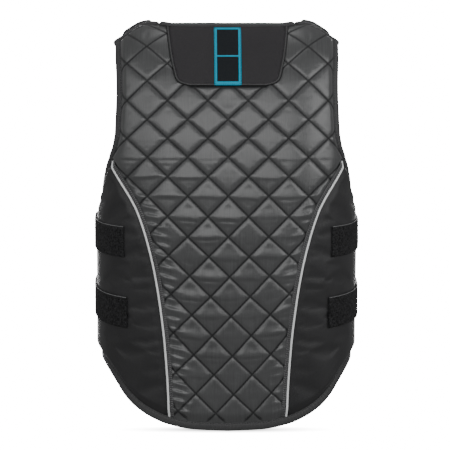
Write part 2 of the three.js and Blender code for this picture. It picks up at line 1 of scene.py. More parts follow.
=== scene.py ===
import math
import bpy
import numpy as np
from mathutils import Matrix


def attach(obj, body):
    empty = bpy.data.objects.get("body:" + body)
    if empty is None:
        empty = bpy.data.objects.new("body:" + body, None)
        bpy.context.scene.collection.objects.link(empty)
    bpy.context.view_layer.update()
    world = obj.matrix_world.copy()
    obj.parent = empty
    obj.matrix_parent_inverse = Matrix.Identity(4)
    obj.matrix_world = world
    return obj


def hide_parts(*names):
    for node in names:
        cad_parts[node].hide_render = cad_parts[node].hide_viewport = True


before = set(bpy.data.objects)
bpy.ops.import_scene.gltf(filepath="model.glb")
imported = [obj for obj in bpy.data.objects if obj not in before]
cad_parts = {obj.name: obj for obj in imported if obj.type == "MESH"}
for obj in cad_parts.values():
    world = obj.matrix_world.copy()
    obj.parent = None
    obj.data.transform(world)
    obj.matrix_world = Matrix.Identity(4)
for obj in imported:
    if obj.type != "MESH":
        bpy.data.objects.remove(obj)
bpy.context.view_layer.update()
chance = np.random.default_rng(11)

# Everything is worked out in millimetres and put into the meshes in metres.
# The vest's own form: sizes and tables are the same as those of the solids.
vest = {
    "height": 563, "rise": 27, "halfWidth": 177, "backDepth": 132, "frontDepth": 122, "roundness": 3,
    "pad": 20, "rim": 9, "taper": 15, "gap": 0.4, "side": 92,
}
# down, width, back, front
sections = np.array([
    [0.000, 0.690, 0.450, 0.560], [0.012, 0.758, 0.512, 0.580], [0.030, 0.843, 0.576, 0.610],
    [0.048, 0.899, 0.629, 0.650], [0.066, 0.925, 0.674, 0.690], [0.107, 0.950, 0.758, 0.760],
    [0.155, 0.966, 0.831, 0.830], [0.243, 0.983, 0.915, 0.935], [0.314, 0.994, 0.962, 0.985],
    [0.410, 0.999, 0.995, 1.000], [0.474, 1.000, 1.000, 0.985], [0.634, 1.000, 0.962, 0.930],
    [0.812, 0.995, 0.885, 0.890], [1.000, 0.980, 0.800, 0.870]])
# down, turn
armhole = np.array([
    [0.047, 60.6], [0.073, 56.9], [0.147, 52.2], [0.199, 51.3], [0.275, 51.4], [0.314, 53.2], [0.343, 57.2]])
pipedSeam = np.array([
    [0.343, 57.2], [0.364, 53.6], [0.385, 49.9], [0.412, 45.6], [0.442, 41.6], [0.473, 38.6], [0.540, 34.5],
    [0.618, 31.2], [0.698, 28.9], [0.801, 26.9], [0.911, 25.8], [1.000, 25.5]])
# turn, down
underarm = np.array([
    [57.2, 0.343], [61.0, 0.361], [66.5, 0.392], [72.0, 0.421], [78.0, 0.447], [85.0, 0.467], [92.0, 0.478]])
hem = np.array([
    [0, 0.986], [15, 0.982], [25, 0.971], [33, 0.952], [39.5, 0.929], [45, 0.903], [51, 0.870], [59, 0.840],
    [69, 0.819], [82, 0.808], [96, 0.802], [120, 0.798], [150, 0.815], [180, 0.823]])
# across, down
topEdge = np.array([
    [0.000, 0.0125], [0.430, 0.0115], [0.500, 0.0070], [0.545, 0.0060], [0.618, 0.0030], [0.856, 0.0460]])
yokeRows = np.array([
    [0.016, 0.461], [0.055, 0.447], [0.090, 0.432], [0.118, 0.415], [0.138, 0.400], [0.148, 0.388],
    [0.156, 0.360], [0.162, 0.295]])
# down, outer turn, inner turn
frontRows = np.array([
    [0.478, 0, 180], [0.465, 108.0, 180], [0.440, 118.0, 180], [0.407, 125.6, 180], [0.368, 132.0, 180],
    [0.314, 136.6, 180], [0.243, 138.0, 180], [0.226, 137.8, 180], [0.219, 137.6, 173.0],
    [0.205, 137.2, 166.4], [0.183, 136.6, 161.2], [0.155, 136.0, 157.4]])


def tableCurve(table, at, column=1):
    # smooth curve through the rows of a table that never overshoots them: cubic pieces whose slope at a row
    # is the harmonic mean of the slopes on both sides of it
    x, y = table[:, 0], table[:, column]
    step = np.diff(x)
    slope = np.diff(y) / step
    both = slope[:-1] * slope[1:]
    total = np.where(np.abs(slope[:-1] + slope[1:]) < 1e-9, 1, slope[:-1] + slope[1:])
    m = np.concatenate([slope[:1], np.where(both > 0, 2 * both / total, 0), slope[-1:]])
    t = np.clip(at, x[0], x[-1])
    i = np.clip(np.searchsorted(x, t, "right") - 1, 0, len(x) - 2)
    u = (t - x[i]) / step[i]
    r = 1 - u
    rise = y[i] * r * r * (1 + 2 * u) + y[i + 1] * u * u * (3 - 2 * u)
    return rise + step[i] * u * r * (m[i] * r - m[i + 1] * u)


def heightAt(down):
    return vest["rise"] - down * vest["height"]


def downAt(z):
    return (vest["rise"] - z) / vest["height"]


def smooth(t):
    t = np.clip(t, 0, 1)
    return t * t * (3 - 2 * t)


def mix(a, b, t):
    return a + (b - a) * t


def shell(turn, z):
    # rounded-box section |x/w|^n + |y/d|^n = 1 at every height; turn is 0 in the middle of the back and 90 at
    # the side
    n = vest["roundness"]
    turn, z = np.broadcast_arrays(np.asarray(turn, float), np.asarray(z, float))
    sine, cosine = np.sin(np.radians(turn)), np.cos(np.radians(turn))
    reach = (np.abs(sine) ** n + np.abs(cosine) ** n) ** (-1 / n)
    down = downAt(z)
    depth = np.where(cosine > 0, vest["backDepth"] * tableCurve(sections, down, 2),
                     vest["frontDepth"] * tableCurve(sections, down, 3))
    width = vest["halfWidth"] * tableCurve(sections, down, 1)
    return np.stack([width * reach * sine, -depth * reach * cosine, z], -1)


def unit(v):
    return v / np.maximum(np.linalg.norm(v, axis=-1, keepdims=True), 1e-9)


def shellNormal(turn, z):
    # outward direction: the step round the section crossed with the step up
    around = shell(turn + 0.2, z) - shell(turn - 0.2, z)
    return unit(np.cross(around, shell(turn, z + 0.2) - shell(turn, z - 0.2)))


def onShell(turn, z):
    return shell(turn, z), shellNormal(turn, z)


def acrossShell(x, z):
    return onShell(turnAcross(x, z), z)


def turnAcross(x, z):
    n = vest["roundness"]
    share = np.minimum(np.abs(x) / (vest["halfWidth"] * tableCurve(sections, downAt(z), 1)), 0.9999)
    return np.sign(x) * np.degrees(np.arctan2(share, (1 - share ** n) ** (1 / n)))


def turnPast(turn, z, length):
    return turn + length / np.linalg.norm(shell(turn + 0.5, z) - shell(turn - 0.5, z), axis=-1)


def armholeTurn(z):
    return tableCurve(armhole, downAt(z))


def seamTurn(z):
    return tableCurve(pipedSeam, downAt(z))


def hemHeight(turn):
    return heightAt(tableCurve(hem, np.abs(turn)))


def underarmHeight(turn):
    return heightAt(tableCurve(underarm, turn))


def topHeight(x):
    return heightAt(tableCurve(topEdge, np.abs(x) / vest["halfWidth"]))


seamHead = heightAt(pipedSeam[0, 0])
seamFoot = float(hemHeight(pipedSeam[-1, 1]))
shoulderCorner = heightAt(armhole[0, 0])
yokeFloor = heightAt(yokeRows[-1, 0])
mirror = {"right": np.array([1, 1, 1]), "left": np.array([-1, 1, 1])}


def yokeReach(z):
    return vest["halfWidth"] * tableCurve(yokeRows, downAt(z))


def gridShares(columns, rows, left=-1):
    # even steps across a grid, from left to 1, and up it, from 0 to 1
    return np.linspace(left, 1, columns)[None, :], np.linspace(0, 1, rows)[:, None]


def netNormal(points):
    # normal of a grid of points: its two central differences crossed
    return unit(np.cross(np.gradient(points, axis=1), np.gradient(points, axis=0)))


def wayLength(points, axis):
    # running length along rows (axis 1) or columns (axis 0) of a grid
    steps = np.linalg.norm(np.diff(points, axis=axis), axis=-1)
    pad = [(0, 0), (0, 0)]
    pad[axis] = (1, 0)
    return np.cumsum(np.pad(steps, pad), axis=axis)


def edgeAway(points, sides="lrbt"):
    # distance of every grid point from the nearest of the named edges, measured along the rows and columns
    across, up = wayLength(points, 1), wayLength(points, 0)
    far = np.full(across.shape, 1e3)
    ways = {"l": across, "r": across[:, -1:] - across, "b": up, "t": up[-1:] - up}
    for side in sides:
        far = np.minimum(far, ways[side])
    return far


def taperAt(distance):
    return (vest["pad"] - vest["rim"]) / 2 * (1 - smooth(distance / vest["taper"]))


def refine(net, times):
    # Catmull-Rom curves through the rows and then the columns of a coarse grid
    for axis in (0, 1):
        p = np.moveaxis(net, axis, 0)
        ends = np.concatenate([2 * p[:1] - p[1:2], p, 2 * p[-1:] - p[-2:-1]])
        t = np.linspace(0, len(p) - 1, (len(p) - 1) * times + 1)
        i = np.minimum(t.astype(int), len(p) - 2)
        f = (t - i).reshape(-1, *([1] * (p.ndim - 1)))
        a, b, c, d = ends[i], ends[i + 1], ends[i + 2], ends[i + 3]
        p = 0.5 * (2 * b + (c - a) * f + (2 * a - 5 * b + 4 * c - d) * f ** 2
                   + (3 * b - a - 3 * c + d) * f ** 3)
        net = np.moveaxis(p, 0, axis)
    return net


def sampleGrid(values, rows, columns):
    # bilinear values of a coarse grid at an even finer one
    y, x = np.linspace(0, values.shape[0] - 1, rows), np.linspace(0, values.shape[1] - 1, columns)
    i, j = np.minimum(y.astype(int), values.shape[0] - 2), np.minimum(x.astype(int), values.shape[1] - 2)
    fy, fx = (y - i)[:, None, None], (x - j)[None, :, None]
    a, b = values[i][:, j], values[i][:, j + 1]
    c, d = values[i + 1][:, j], values[i + 1][:, j + 1]
    return (a * (1 - fx) + b * fx) * (1 - fy) + (c * (1 - fx) + d * fx) * fy


def softNoise(x, y, seed, octaves=3):
    # sum of a few sine waves with seeded directions, from -1 to 1
    waves = np.random.default_rng(seed)
    total = np.zeros(np.broadcast(x, y).shape)
    for k in range(octaves * 4):
        angle, phase, size = waves.uniform(0, 2 * np.pi), waves.uniform(0, 6.28), 1.6 ** (k // 4)
        total += np.sin((x * np.cos(angle) + y * np.sin(angle)) * size + phase) / size
    return total / (2.2 * octaves)


def putMesh(name, points, polygons, materials, faceMaterial=None, uv=None):
    # points in millimetres, polygons as a list of index arrays of equal width
    mesh = bpy.data.meshes.new(name)
    sizes = np.concatenate([np.full(len(p), p.shape[1]) for p in polygons])
    corners = np.concatenate([p.reshape(-1) for p in polygons]).astype(np.int32)
    mesh.vertices.add(len(points))
    mesh.vertices.foreach_set("co", (np.asarray(points, np.float32) * 0.001).reshape(-1))
    mesh.loops.add(len(corners))
    mesh.loops.foreach_set("vertex_index", corners)
    mesh.polygons.add(len(sizes))
    starts = np.concatenate([[0], np.cumsum(sizes)[:-1]]).astype(np.int32)
    mesh.polygons.foreach_set("loop_start", starts)
    mesh.polygons.foreach_set("loop_total", sizes.astype(np.int32))
    mesh.polygons.foreach_set("use_smooth", np.full(len(sizes), True))
    if uv is not None:
        layer = mesh.uv_layers.new(name="cloth")
        layer.data.foreach_set("uv", (np.asarray(uv, np.float32)[corners] * 0.001).reshape(-1))
    for material in materials:
        mesh.materials.append(cloth[material])
    if faceMaterial is not None:
        mesh.polygons.foreach_set("material_index", np.asarray(faceMaterial, np.int32))
    mesh.update(calc_edges=True)
    mesh.validate()
    piece = bpy.data.objects.new(name, mesh)
    bpy.context.scene.collection.objects.link(piece)
    return piece


def finishPiece(piece, nodes=()):
    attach(piece, "root")
    if nodes:
        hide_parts(*nodes)
    return piece


def gridQuads(rows, columns, start=0, turned=False):
    # the four corners of every cell of a grid whose points are numbered along its rows
    a = (np.arange(rows - 1)[:, None] * columns + np.arange(columns - 1)[None, :]).reshape(-1) + start
    quads = np.stack([a, a + 1, a + columns + 1, a + columns], 1)
    return quads[:, ::-1] if turned else quads


def rimLoop(rows, columns):
    # numbers of the points round the edge of a grid, once round
    bottom = np.arange(columns - 1)
    right = np.arange(rows - 1) * columns + columns - 1
    top = (rows - 1) * columns + np.arange(columns - 1, 0, -1)
    left = np.arange(rows - 1, 0, -1) * columns
    return np.concatenate([bottom, right, top, left])


def closedPad(name, points, normals, top, bottom, materials, step=4):
    # outer face on a fine grid, top above its points; inner face, bottom above them, on every step-th row and
    # column; and a wall round the rim
    outer = points + normals * top[..., None]
    rows, columns = top.shape
    back = (points + normals * bottom[..., None])[::step, ::step]
    count = rows * columns
    fine = rimLoop(rows, columns)
    coarse = rimLoop(*back.shape[:2]) + count
    k = np.arange(len(fine))
    near = ((k + step // 2) // step) % len(coarse)
    wallA = np.stack([fine[k], coarse[near], fine[(k + 1) % len(fine)]], 1)
    j = np.arange(len(coarse))
    wallB = np.stack([coarse[j], coarse[(j + 1) % len(coarse)], fine[(j * step + step // 2) % len(fine)]], 1)
    quads = gridQuads(rows, columns)
    lining = gridQuads(*back.shape[:2], start=count, turned=True)
    uv = np.stack([wayLength(outer, 1), wayLength(outer, 0)], -1)
    uv[..., 0] -= uv[:, columns // 2:columns // 2 + 1, 0]
    kinds = np.concatenate([np.zeros(len(quads)), np.ones(len(lining)), np.zeros(len(wallA) + len(wallB))])
    return putMesh(name, np.concatenate([outer.reshape(-1, 3), back.reshape(-1, 3)]),
                   [quads, lining, wallA, wallB], materials, kinds,
                   np.concatenate([uv.reshape(-1, 2), uv[::step, ::step].reshape(-1, 2)]))


def mirroredGrid(net):
    return (net * mirror["left"])[:, ::-1]


def sidePad(side, name, points, normals, top, bottom, materials, slot, node, fill=None):
    # a pad that is worked out for the right side, mirrored where it is the left one
    if side == "left":
        points, normals = mirroredGrid(points), mirroredGrid(normals)
        top, bottom = top[:, ::-1], bottom[:, ::-1]
    finishPiece(closedPad(name, points, normals, top, bottom, materials), [node])


def evenly(path, extra, pitch):
    # points and companion values at an even pitch along a polyline
    way = np.concatenate([[0], np.cumsum(np.linalg.norm(np.diff(path, axis=0), axis=1))])
    at = np.linspace(0, way[-1], max(int(round(way[-1] / pitch)), 2) + 1)
    pick = lambda values: np.stack([np.interp(at, way, values[:, k]) for k in range(values.shape[1])], 1)
    return pick(path), pick(extra), at


def sweep(name, path, normals, profile, material, nodes=(), drop=None, along=None):
    # a closed profile (side, out) carried along a path; side points away from the pad, out along the normal
    run = unit(np.gradient(path, axis=0))
    away = unit(np.cross(run, normals))
    out = unit(np.cross(away, run))
    ring = np.broadcast_to(profile, (len(path),) + profile.shape[-2:]).copy()
    if drop is not None:
        ring[..., 1] += drop[:, None]
    points = path[:, None] + away[:, None] * ring[..., :1] + out[:, None] * ring[..., 1:]
    count, corners = ring.shape[:2]
    i, k = np.meshgrid(np.arange(corners), np.arange(count - 1))
    a, b = (k * corners + i).reshape(-1), (k * corners + (i + 1) % corners).reshape(-1)
    quads = np.stack([a, a + corners, b + corners, b], 1)
    caps = [np.arange(corners)[None], ((count - 1) * corners + np.arange(corners))[::-1][None]]
    girth = np.concatenate([[0], np.cumsum(np.linalg.norm(np.diff(ring[0], axis=0), axis=1))])
    way = along if along is not None else np.arange(count)
    uv = np.stack(np.broadcast_arrays(girth[None, :], np.asarray(way, float)[:, None]), -1)
    piece = putMesh(name, points.reshape(-1, 3), [quads, *caps], [material], uv=uv.reshape(-1, 2))
    finishPiece(piece, nodes)


def tapeProfile(low, high, start, end, corners=5, largest=3.2, bevel=0.5):
    # a folded tape: a bar whose two outer corners are quarter circles and whose inner corners are bevelled
    radius = min((high - low) / 2 - 0.2, largest)
    angle = np.linspace(0, np.pi / 2, corners)
    upper = np.stack([end - radius + radius * np.sin(angle), high - radius + radius * np.cos(angle)], 1)
    lower = np.stack([end - radius + radius * np.cos(angle), low + radius - radius * np.sin(angle)], 1)
    return np.concatenate([[[start, low + bevel], [start, high - bevel], [start + bevel, high]], upper,
                           lower, [[start + bevel, low]]])


# one stitch: rings along it, each a share of its length and a share of its half thickness
grainRings = [(-0.5, 0.35), (-0.3, 0.9), (0.3, 0.9), (0.5, 0.35)]


def stitches(path, normals, pitch, length, thickness, tilt=0.0):
    # small six-sided grains with closed ends, one at every pitch, lying along the path and turned by tilt
    path, normals, _ = evenly(path, normals, pitch)
    run = unit(np.gradient(path, axis=0))
    out = unit(normals)
    away = unit(np.cross(run, out))
    slanted = unit(run * math.cos(tilt) + away * math.sin(tilt))
    side = unit(np.cross(slanted, out))
    ring = np.arange(6) * np.pi / 3
    grain = np.array([[s * length, c * math.cos(a) * thickness / 2, c * math.sin(a) * thickness / 2]
                      for s, c in grainRings for a in ring])
    points = (path[:, None] + slanted[:, None] * grain[None, :, :1] + side[:, None] * grain[None, :, 1:2]
              + out[:, None] * grain[None, :, 2:])
    i, k = np.meshgrid(np.arange(6), np.arange(3))
    quads = np.stack([k * 6 + i, k * 6 + (i + 1) % 6, (k + 1) * 6 + (i + 1) % 6, (k + 1) * 6 + i], -1)
    quads = quads.reshape(-1, 4)
    start = (np.arange(len(path)) * 24)[:, None, None]
    caps = np.array([[5, 4, 3, 2, 1, 0], [18, 19, 20, 21, 22, 23]])
    return points.reshape(-1, 3), (quads[None] + start).reshape(-1, 4), (caps[None] + start).reshape(-1, 6)


def stitchPiece(name, runs, material):
    # all the runs of one thread in a single mesh
    starts = np.cumsum([0] + [len(run[0]) for run in runs])
    faces = [np.concatenate([run[k] + start for run, start in zip(runs, starts)]) for k in (1, 2)]
    finishPiece(putMesh(name, np.concatenate([run[0] for run in runs]), faces, [material]))


def swell(points, held, sizes, label):
    # a cloth sheet over a grid: the held points stay, pressure and spare cloth lift the rest up to a cap
    rows, columns = points.shape[:2]
    piece = putMesh("swell", points.reshape(-1, 3), [gridQuads(rows, columns)], [])
    group = piece.vertex_groups.new(name="held")
    group.add(np.flatnonzero(held.reshape(-1)).tolist(), 1.0, "REPLACE")
    cloth = piece.modifiers.new("cloth", "CLOTH")
    settings = cloth.settings
    settings.quality = 4
    settings.mass = 0.25
    settings.tension_stiffness = settings.compression_stiffness = sizes["stiffness"]
    settings.bending_stiffness = sizes["bending"]
    settings.vertex_group_mass = "held"
    settings.use_pressure = True
    settings.uniform_pressure_force = sizes["pressure"]
    settings.shrink_min = -sizes["spare"]
    settings.effector_weights.gravity = 0
    cloth.collision_settings.use_collision = False
    cloth.point_cache.frame_start = 1
    cloth.point_cache.frame_end = sizes["frames"]
    scene = bpy.context.scene
    for step in range(1, sizes["frames"] + 1):
        scene.frame_set(step)
    shaped = piece.evaluated_get(bpy.context.evaluated_depsgraph_get()).to_mesh()
    found = np.empty(rows * columns * 3, np.float32)
    shaped.vertices.foreach_get("co", found)
    scene.frame_set(1)
    mesh = piece.data
    bpy.data.objects.remove(piece)
    bpy.data.meshes.remove(mesh)
    moved = found.reshape(points.shape) * 1000 - points
    far = np.linalg.norm(moved, axis=-1, keepdims=True)
    print(label, "swelled, most", round(float(far.max()), 2), "mm")
    return moved * np.minimum(1, sizes["cap"] / np.maximum(far, 1e-6))


# Materials
def addNode(tree, kind, **values):
    made = tree.nodes.new(kind)
    for key, value in values.items():
        if key in made.inputs:
            made.inputs[key].default_value = value
        else:
            setattr(made, key, value)
    return made


# what a cloth has where its own look says nothing else; depths are in metres
plainCloth = {
    "sheen": 0.0, "sheenTint": (0.5, 0.5, 0.52), "specular": 0.5, "roughSpread": 0.05,
    "patch": 18, "patchTone": 0.12, "streak": (900, 25, 1), "streakTone": 0.1,
    "weave": 2000, "weaveAxes": ("X", "Y"), "weaveBend": 0.6, "weaveStrength": 0.25, "weaveDepth": 0.00012,
    "fuzz": 700, "fuzzStrength": 0.3, "fuzzDepth": 0.0003,
    "crease": 40, "creaseShape": (1, 1, 1), "creaseStrength": 0.3, "creaseDepth": 0.002, "grooveShade": 0,
}


def clothMaterial(name, look):
    # woven cloth: two tones mixed by soft noise, threads across the piece's own map, and soft creases
    look = {**plainCloth, **look}
    material = bpy.data.materials.new(name)
    material.use_nodes = True
    tree = material.node_tree
    tree.nodes.clear()
    join = tree.links.new

    def grain(scale, size, detail, source):
        mapped = addNode(tree, "ShaderNodeMapping", Scale=scale)
        join(addNode(tree, "ShaderNodeTexCoord").outputs[source], mapped.inputs["Vector"])
        noise = addNode(tree, "ShaderNodeTexNoise", Scale=size, Detail=detail)
        join(mapped.outputs["Vector"], noise.inputs["Vector"])
        return noise.outputs["Fac"]

    def spread(value, low, high, outLow, outHigh):
        ends = {"From Min": low, "From Max": high, "To Min": outLow, "To Max": outHigh}
        made = addNode(tree, "ShaderNodeMapRange", **ends)
        join(value, made.inputs["Value"])
        return made.outputs["Result"]

    def maths(operation, a, b):
        made = addNode(tree, "ShaderNodeMath", operation=operation)
        join(a, made.inputs[0])
        if hasattr(b, "is_output"):
            join(b, made.inputs[1])
        else:
            made.inputs[1].default_value = b
        return made.outputs["Value"]

    def bump(height, part, before=None):
        strength, depth = look[part + "Strength"], look[part + "Depth"]
        made = addNode(tree, "ShaderNodeBump", Strength=strength, Distance=depth)
        join(height, made.inputs["Height"])
        if before is not None:
            join(before, made.inputs["Normal"])
        return made.outputs["Normal"]

    gloss = {"Sheen Weight": look["sheen"], "Sheen Tint": (*look["sheenTint"], 1),
             "Specular IOR Level": look["specular"]}
    surface = addNode(tree, "ShaderNodeBsdfPrincipled", **gloss)
    join(surface.outputs["BSDF"], addNode(tree, "ShaderNodeOutputMaterial").inputs["Surface"])

    # tone: broad patches, streaks of the thread and, on the satin, painted shade in the sewn grooves
    patches = spread(grain((1, 1, 1), look["patch"], 3, "Object"), 0.3, 0.7, -1, 1)
    streaks = grain(look["streak"], 1.0, 2, "UV")
    tone = maths("MULTIPLY", patches, look["patchTone"])
    tone = maths("ADD", tone, maths("MULTIPLY", spread(streaks, 0.3, 0.7, -1, 1), look["streakTone"]))
    tone = maths("ADD", tone, 0.5)
    middle, uneven = look["roughness"], look["roughSpread"]
    rough = spread(streaks, 0.3, 0.7, middle - uneven, middle + uneven)
    # painted shade: the groove values darken the base colour along the sewn grooves, and make them rougher
    # and less glossy
    if look["grooveShade"]:
        groove = addNode(tree, "ShaderNodeAttribute", attribute_name="groove").outputs["Fac"]
        tone = maths("ADD", tone, maths("MULTIPLY", groove, -look["grooveShade"]))
        rough = maths("ADD", rough, maths("MULTIPLY", groove, look["grooveRough"]))
        specular = spread(groove, 0, 1, look["specular"], look["grooveSpecular"])
        join(specular, surface.inputs["Specular IOR Level"])
    colour = addNode(tree, "ShaderNodeValToRGB")
    for stop, shade in zip(colour.color_ramp.elements, ("dark", "light")):
        stop.color = (*look[shade], 1)
    join(tone, colour.inputs["Fac"])
    join(colour.outputs["Color"], surface.inputs["Base Color"])
    join(rough, surface.inputs["Roughness"])

    # threads: one or two sets of fine waves at right angles, then soft hand and creases
    place = addNode(tree, "ShaderNodeTexCoord")
    weaves = []
    for axis in look["weaveAxes"]:
        wave = addNode(tree, "ShaderNodeTexWave", wave_type="BANDS", bands_direction=axis,
                       Scale=look["weave"] / 20, Distortion=look["weaveBend"], Detail=1.0)
        join(place.outputs["UV"], wave.inputs["Vector"])
        weaves.append(wave.outputs["Fac"])
    hand = bump(weaves[0] if len(weaves) == 1 else maths("MULTIPLY", *weaves), "weave")
    hand = bump(grain((1, 1, 1), look["fuzz"], 4, "Object"), "fuzz", hand)
    hand = bump(grain(look["creaseShape"], look["crease"], 3, "Object"), "crease", hand)
    join(hand, surface.inputs["Normal"])
    return material


smoothThread = {"roughness": 0.5, "specular": 0.4, "weaveStrength": 0.1, "creaseStrength": 0.0}
looks = {
    "quiltedSatin": {
        "dark": (0.032, 0.033, 0.0335), "light": (0.074, 0.0762, 0.0773), "roughness": 0.31,
        "roughSpread": 0.02, "specular": 0.8, "patchTone": 0.1, "streakTone": 0.22, "weave": 2200,
        "weaveStrength": 0.2, "fuzzStrength": 0.05, "crease": 22, "creaseShape": (1, 1, 4),
        # the groove values paint shade into the sewn grooves
        "creaseStrength": 0.15, "creaseDepth": 0.0015, "grooveShade": 0.9, "grooveRough": 0.35,
        "grooveSpecular": 0.05,
    },
    "plainShell": {
        "dark": (0.0125, 0.0125, 0.0134), "light": (0.0225, 0.0225, 0.024), "roughness": 0.5,
        "specular": 0.45, "sheen": 0.03, "patchTone": 0.25, "crease": 12, "creaseDepth": 0.005,
    },
    "yokeCloth": {
        "dark": (0.021, 0.0196, 0.0216), "light": (0.035, 0.033, 0.036), "roughness": 0.62, "specular": 0.25,
        "sheen": 0.05, "streak": (500, 500, 1), "streakTone": 0.2, "weave": 1800, "fuzzStrength": 0.2,
    },
    "bindingTape": {
        "dark": (0.032, 0.032, 0.033), "light": (0.064, 0.064, 0.066), "roughness": 0.5, "specular": 0.4,
        "sheen": 0.03, "weave": 1300, "weaveAxes": ("Y",), "weaveStrength": 0.6, "weaveDepth": 0.0003,
    },
    "pipingCord": {
        "dark": (0.88, 0.89, 0.89), "light": (0.96, 0.97, 0.97), "sheen": 0.4, "sheenTint": (1, 1, 1),
        "roughness": 0.38, "specular": 0.6, "streak": (200, 900, 1), "streakTone": 0.2, "weave": 1800,
        "weaveStrength": 0.3,
    },
    "labelWeave": {
        "dark": (0.0, 0.26, 0.42), "light": (0.0, 0.43, 0.63), "roughness": 0.6, "specular": 0.15,
        "streak": (1500, 200, 1), "weave": 1500, "weaveStrength": 0.5, "weaveDepth": 0.0002,
    },
    "labelDark": {
        "dark": (0.008, 0.010, 0.012), "light": (0.016, 0.020, 0.024), "roughness": 0.7, "specular": 0.15,
        "streak": (200, 1500, 1), "weave": 1500, "weaveStrength": 0.5, "weaveDepth": 0.0002,
    },
    "strapPile": {
        "dark": (0.005, 0.005, 0.0053), "light": (0.032, 0.032, 0.0335), "roughness": 0.9, "specular": 0.2,
        "sheen": 0.06, "patch": 420, "patchTone": 0.6, "fuzz": 380, "fuzzStrength": 0.9, "fuzzDepth": 0.0012,
        "weaveStrength": 0.1,
    },
    "lining": {
        "dark": (0.010, 0.010, 0.011), "light": (0.022, 0.022, 0.024), "roughness": 0.8, "specular": 0.25,
        "sheen": 0.15, "weave": 700, "weaveStrength": 0.8, "weaveDepth": 0.0006,
    },
    "thread": {"dark": (0.10, 0.10, 0.103), "light": (0.20, 0.20, 0.205), **smoothThread},
    "darkThread": {"dark": (0.012, 0.012, 0.013), "light": (0.03, 0.03, 0.032), **smoothThread},
    "zipCoil": {
        "dark": (0.012, 0.012, 0.013), "light": (0.03, 0.03, 0.032), "roughness": 0.35, "specular": 0.5,
        "weaveStrength": 0.0, "creaseStrength": 0.0,
    },
}
cloth = {name: clothMaterial(name, look) for name, look in looks.items()}
print("materials made", len(cloth))

# Quilted middle of the back
quilt = {
    "columns": 201, "rows": 449, "halfWidth": 27.6, "spacing": 38.6,
    "grooveDepth": 2.3, "grooveShare": 0.32, "grooveWidth": 2.2, "shoulderWidth": 7.4, "threadWidth": 1.2,
    "drift": 0.0376, "driftFrom": -275, "narrowing": 0.00031,
    "bow": 2.4, "bowReach": 55, "bowFrom": -200, "bowOver": 200,
    "shoulderDepth": 0.3, "shoulderFrom": 8, "shoulderOver": 75,
    "sideDepth": 0.55, "sideFrom": 85, "sideOver": 45, "sideAbove": -190, "sideRise": 60,
    "seamDip": 2.6, "seamWidth": 12,
    "edgeFade": 7, "underYoke": -3.4, "yokeMargin": 4, "yokeFade": 6,
}
# Folds across the lower diamonds: where they set in, how much deeper they are on the left, and, as shares of
# a diamond, where each lies and how wide it is above and under its line
folds = {
    "height": 2.9, "from": -130, "over": 110, "hemFrom": -430, "hemOver": 60, "hemLoss": 0.75,
    "even": 0.74, "left": 0.26, "leftReach": 50, "place": -0.04, "stray": 0.14, "slant": 0.16, "curve": 0.30,
    "above": 0.34, "under": 0.09, "clear": 9, "second": 0.3, "secondPlace": 0.26, "secondWidth": 0.11,
    "secondRare": 0.6,
}
ripples = {"height": 1.3, "pitch": 13, "away": 15, "width": 12, "from": -170, "over": 80, "slant": 0.25,
           "right": 0.35}
# height of every half row of diamonds, from below upwards
quiltLevels = np.array([
    [-565.0, -3], [-538.5, -2], [-512.4, -1], [-486.6, 0], [-460.0, 1], [-434.0, 2], [-406.7, 3], [-379.8, 4],
    [-353.5, 5], [-326.3, 6], [-299.0, 7], [-272.1, 8], [-244.2, 9], [-216.2, 10], [-189.5, 11], [-163.1, 12],
    [-137.3, 13], [-111.5, 14], [-85.5, 15], [-58.5, 16], [-34.5, 17], [-11.0, 18], [7.0, 19], [20.5, 20],
    [33, 21]])
cellChance = chance.random((80, 80, 4))


def netBow(x, z):
    # the net curves up towards its sides, more and more below the shoulder blades
    return quilt["bow"] * (x / quilt["bowReach"]) ** 2 * smooth((quilt["bowFrom"] - z) / quilt["bowOver"])


def quiltPlace(x, z):
    # the two families of seams: a seam is where p or q is whole; low down the net narrows and drifts sideways
    up = tableCurve(quiltLevels, z - netBow(x, z))
    below = np.minimum(z - quilt["driftFrom"], 0)
    across = (x + quilt["drift"] * below) / (quilt["halfWidth"] * (1 + quilt["narrowing"] * below))
    return (across + up) / 2, (across - up) / 2


def seamAway(x, z):
    p, q = quiltPlace(x, z)
    return np.abs(p - np.round(p)) * quilt["spacing"], np.abs(q - np.round(q)) * quilt["spacing"]


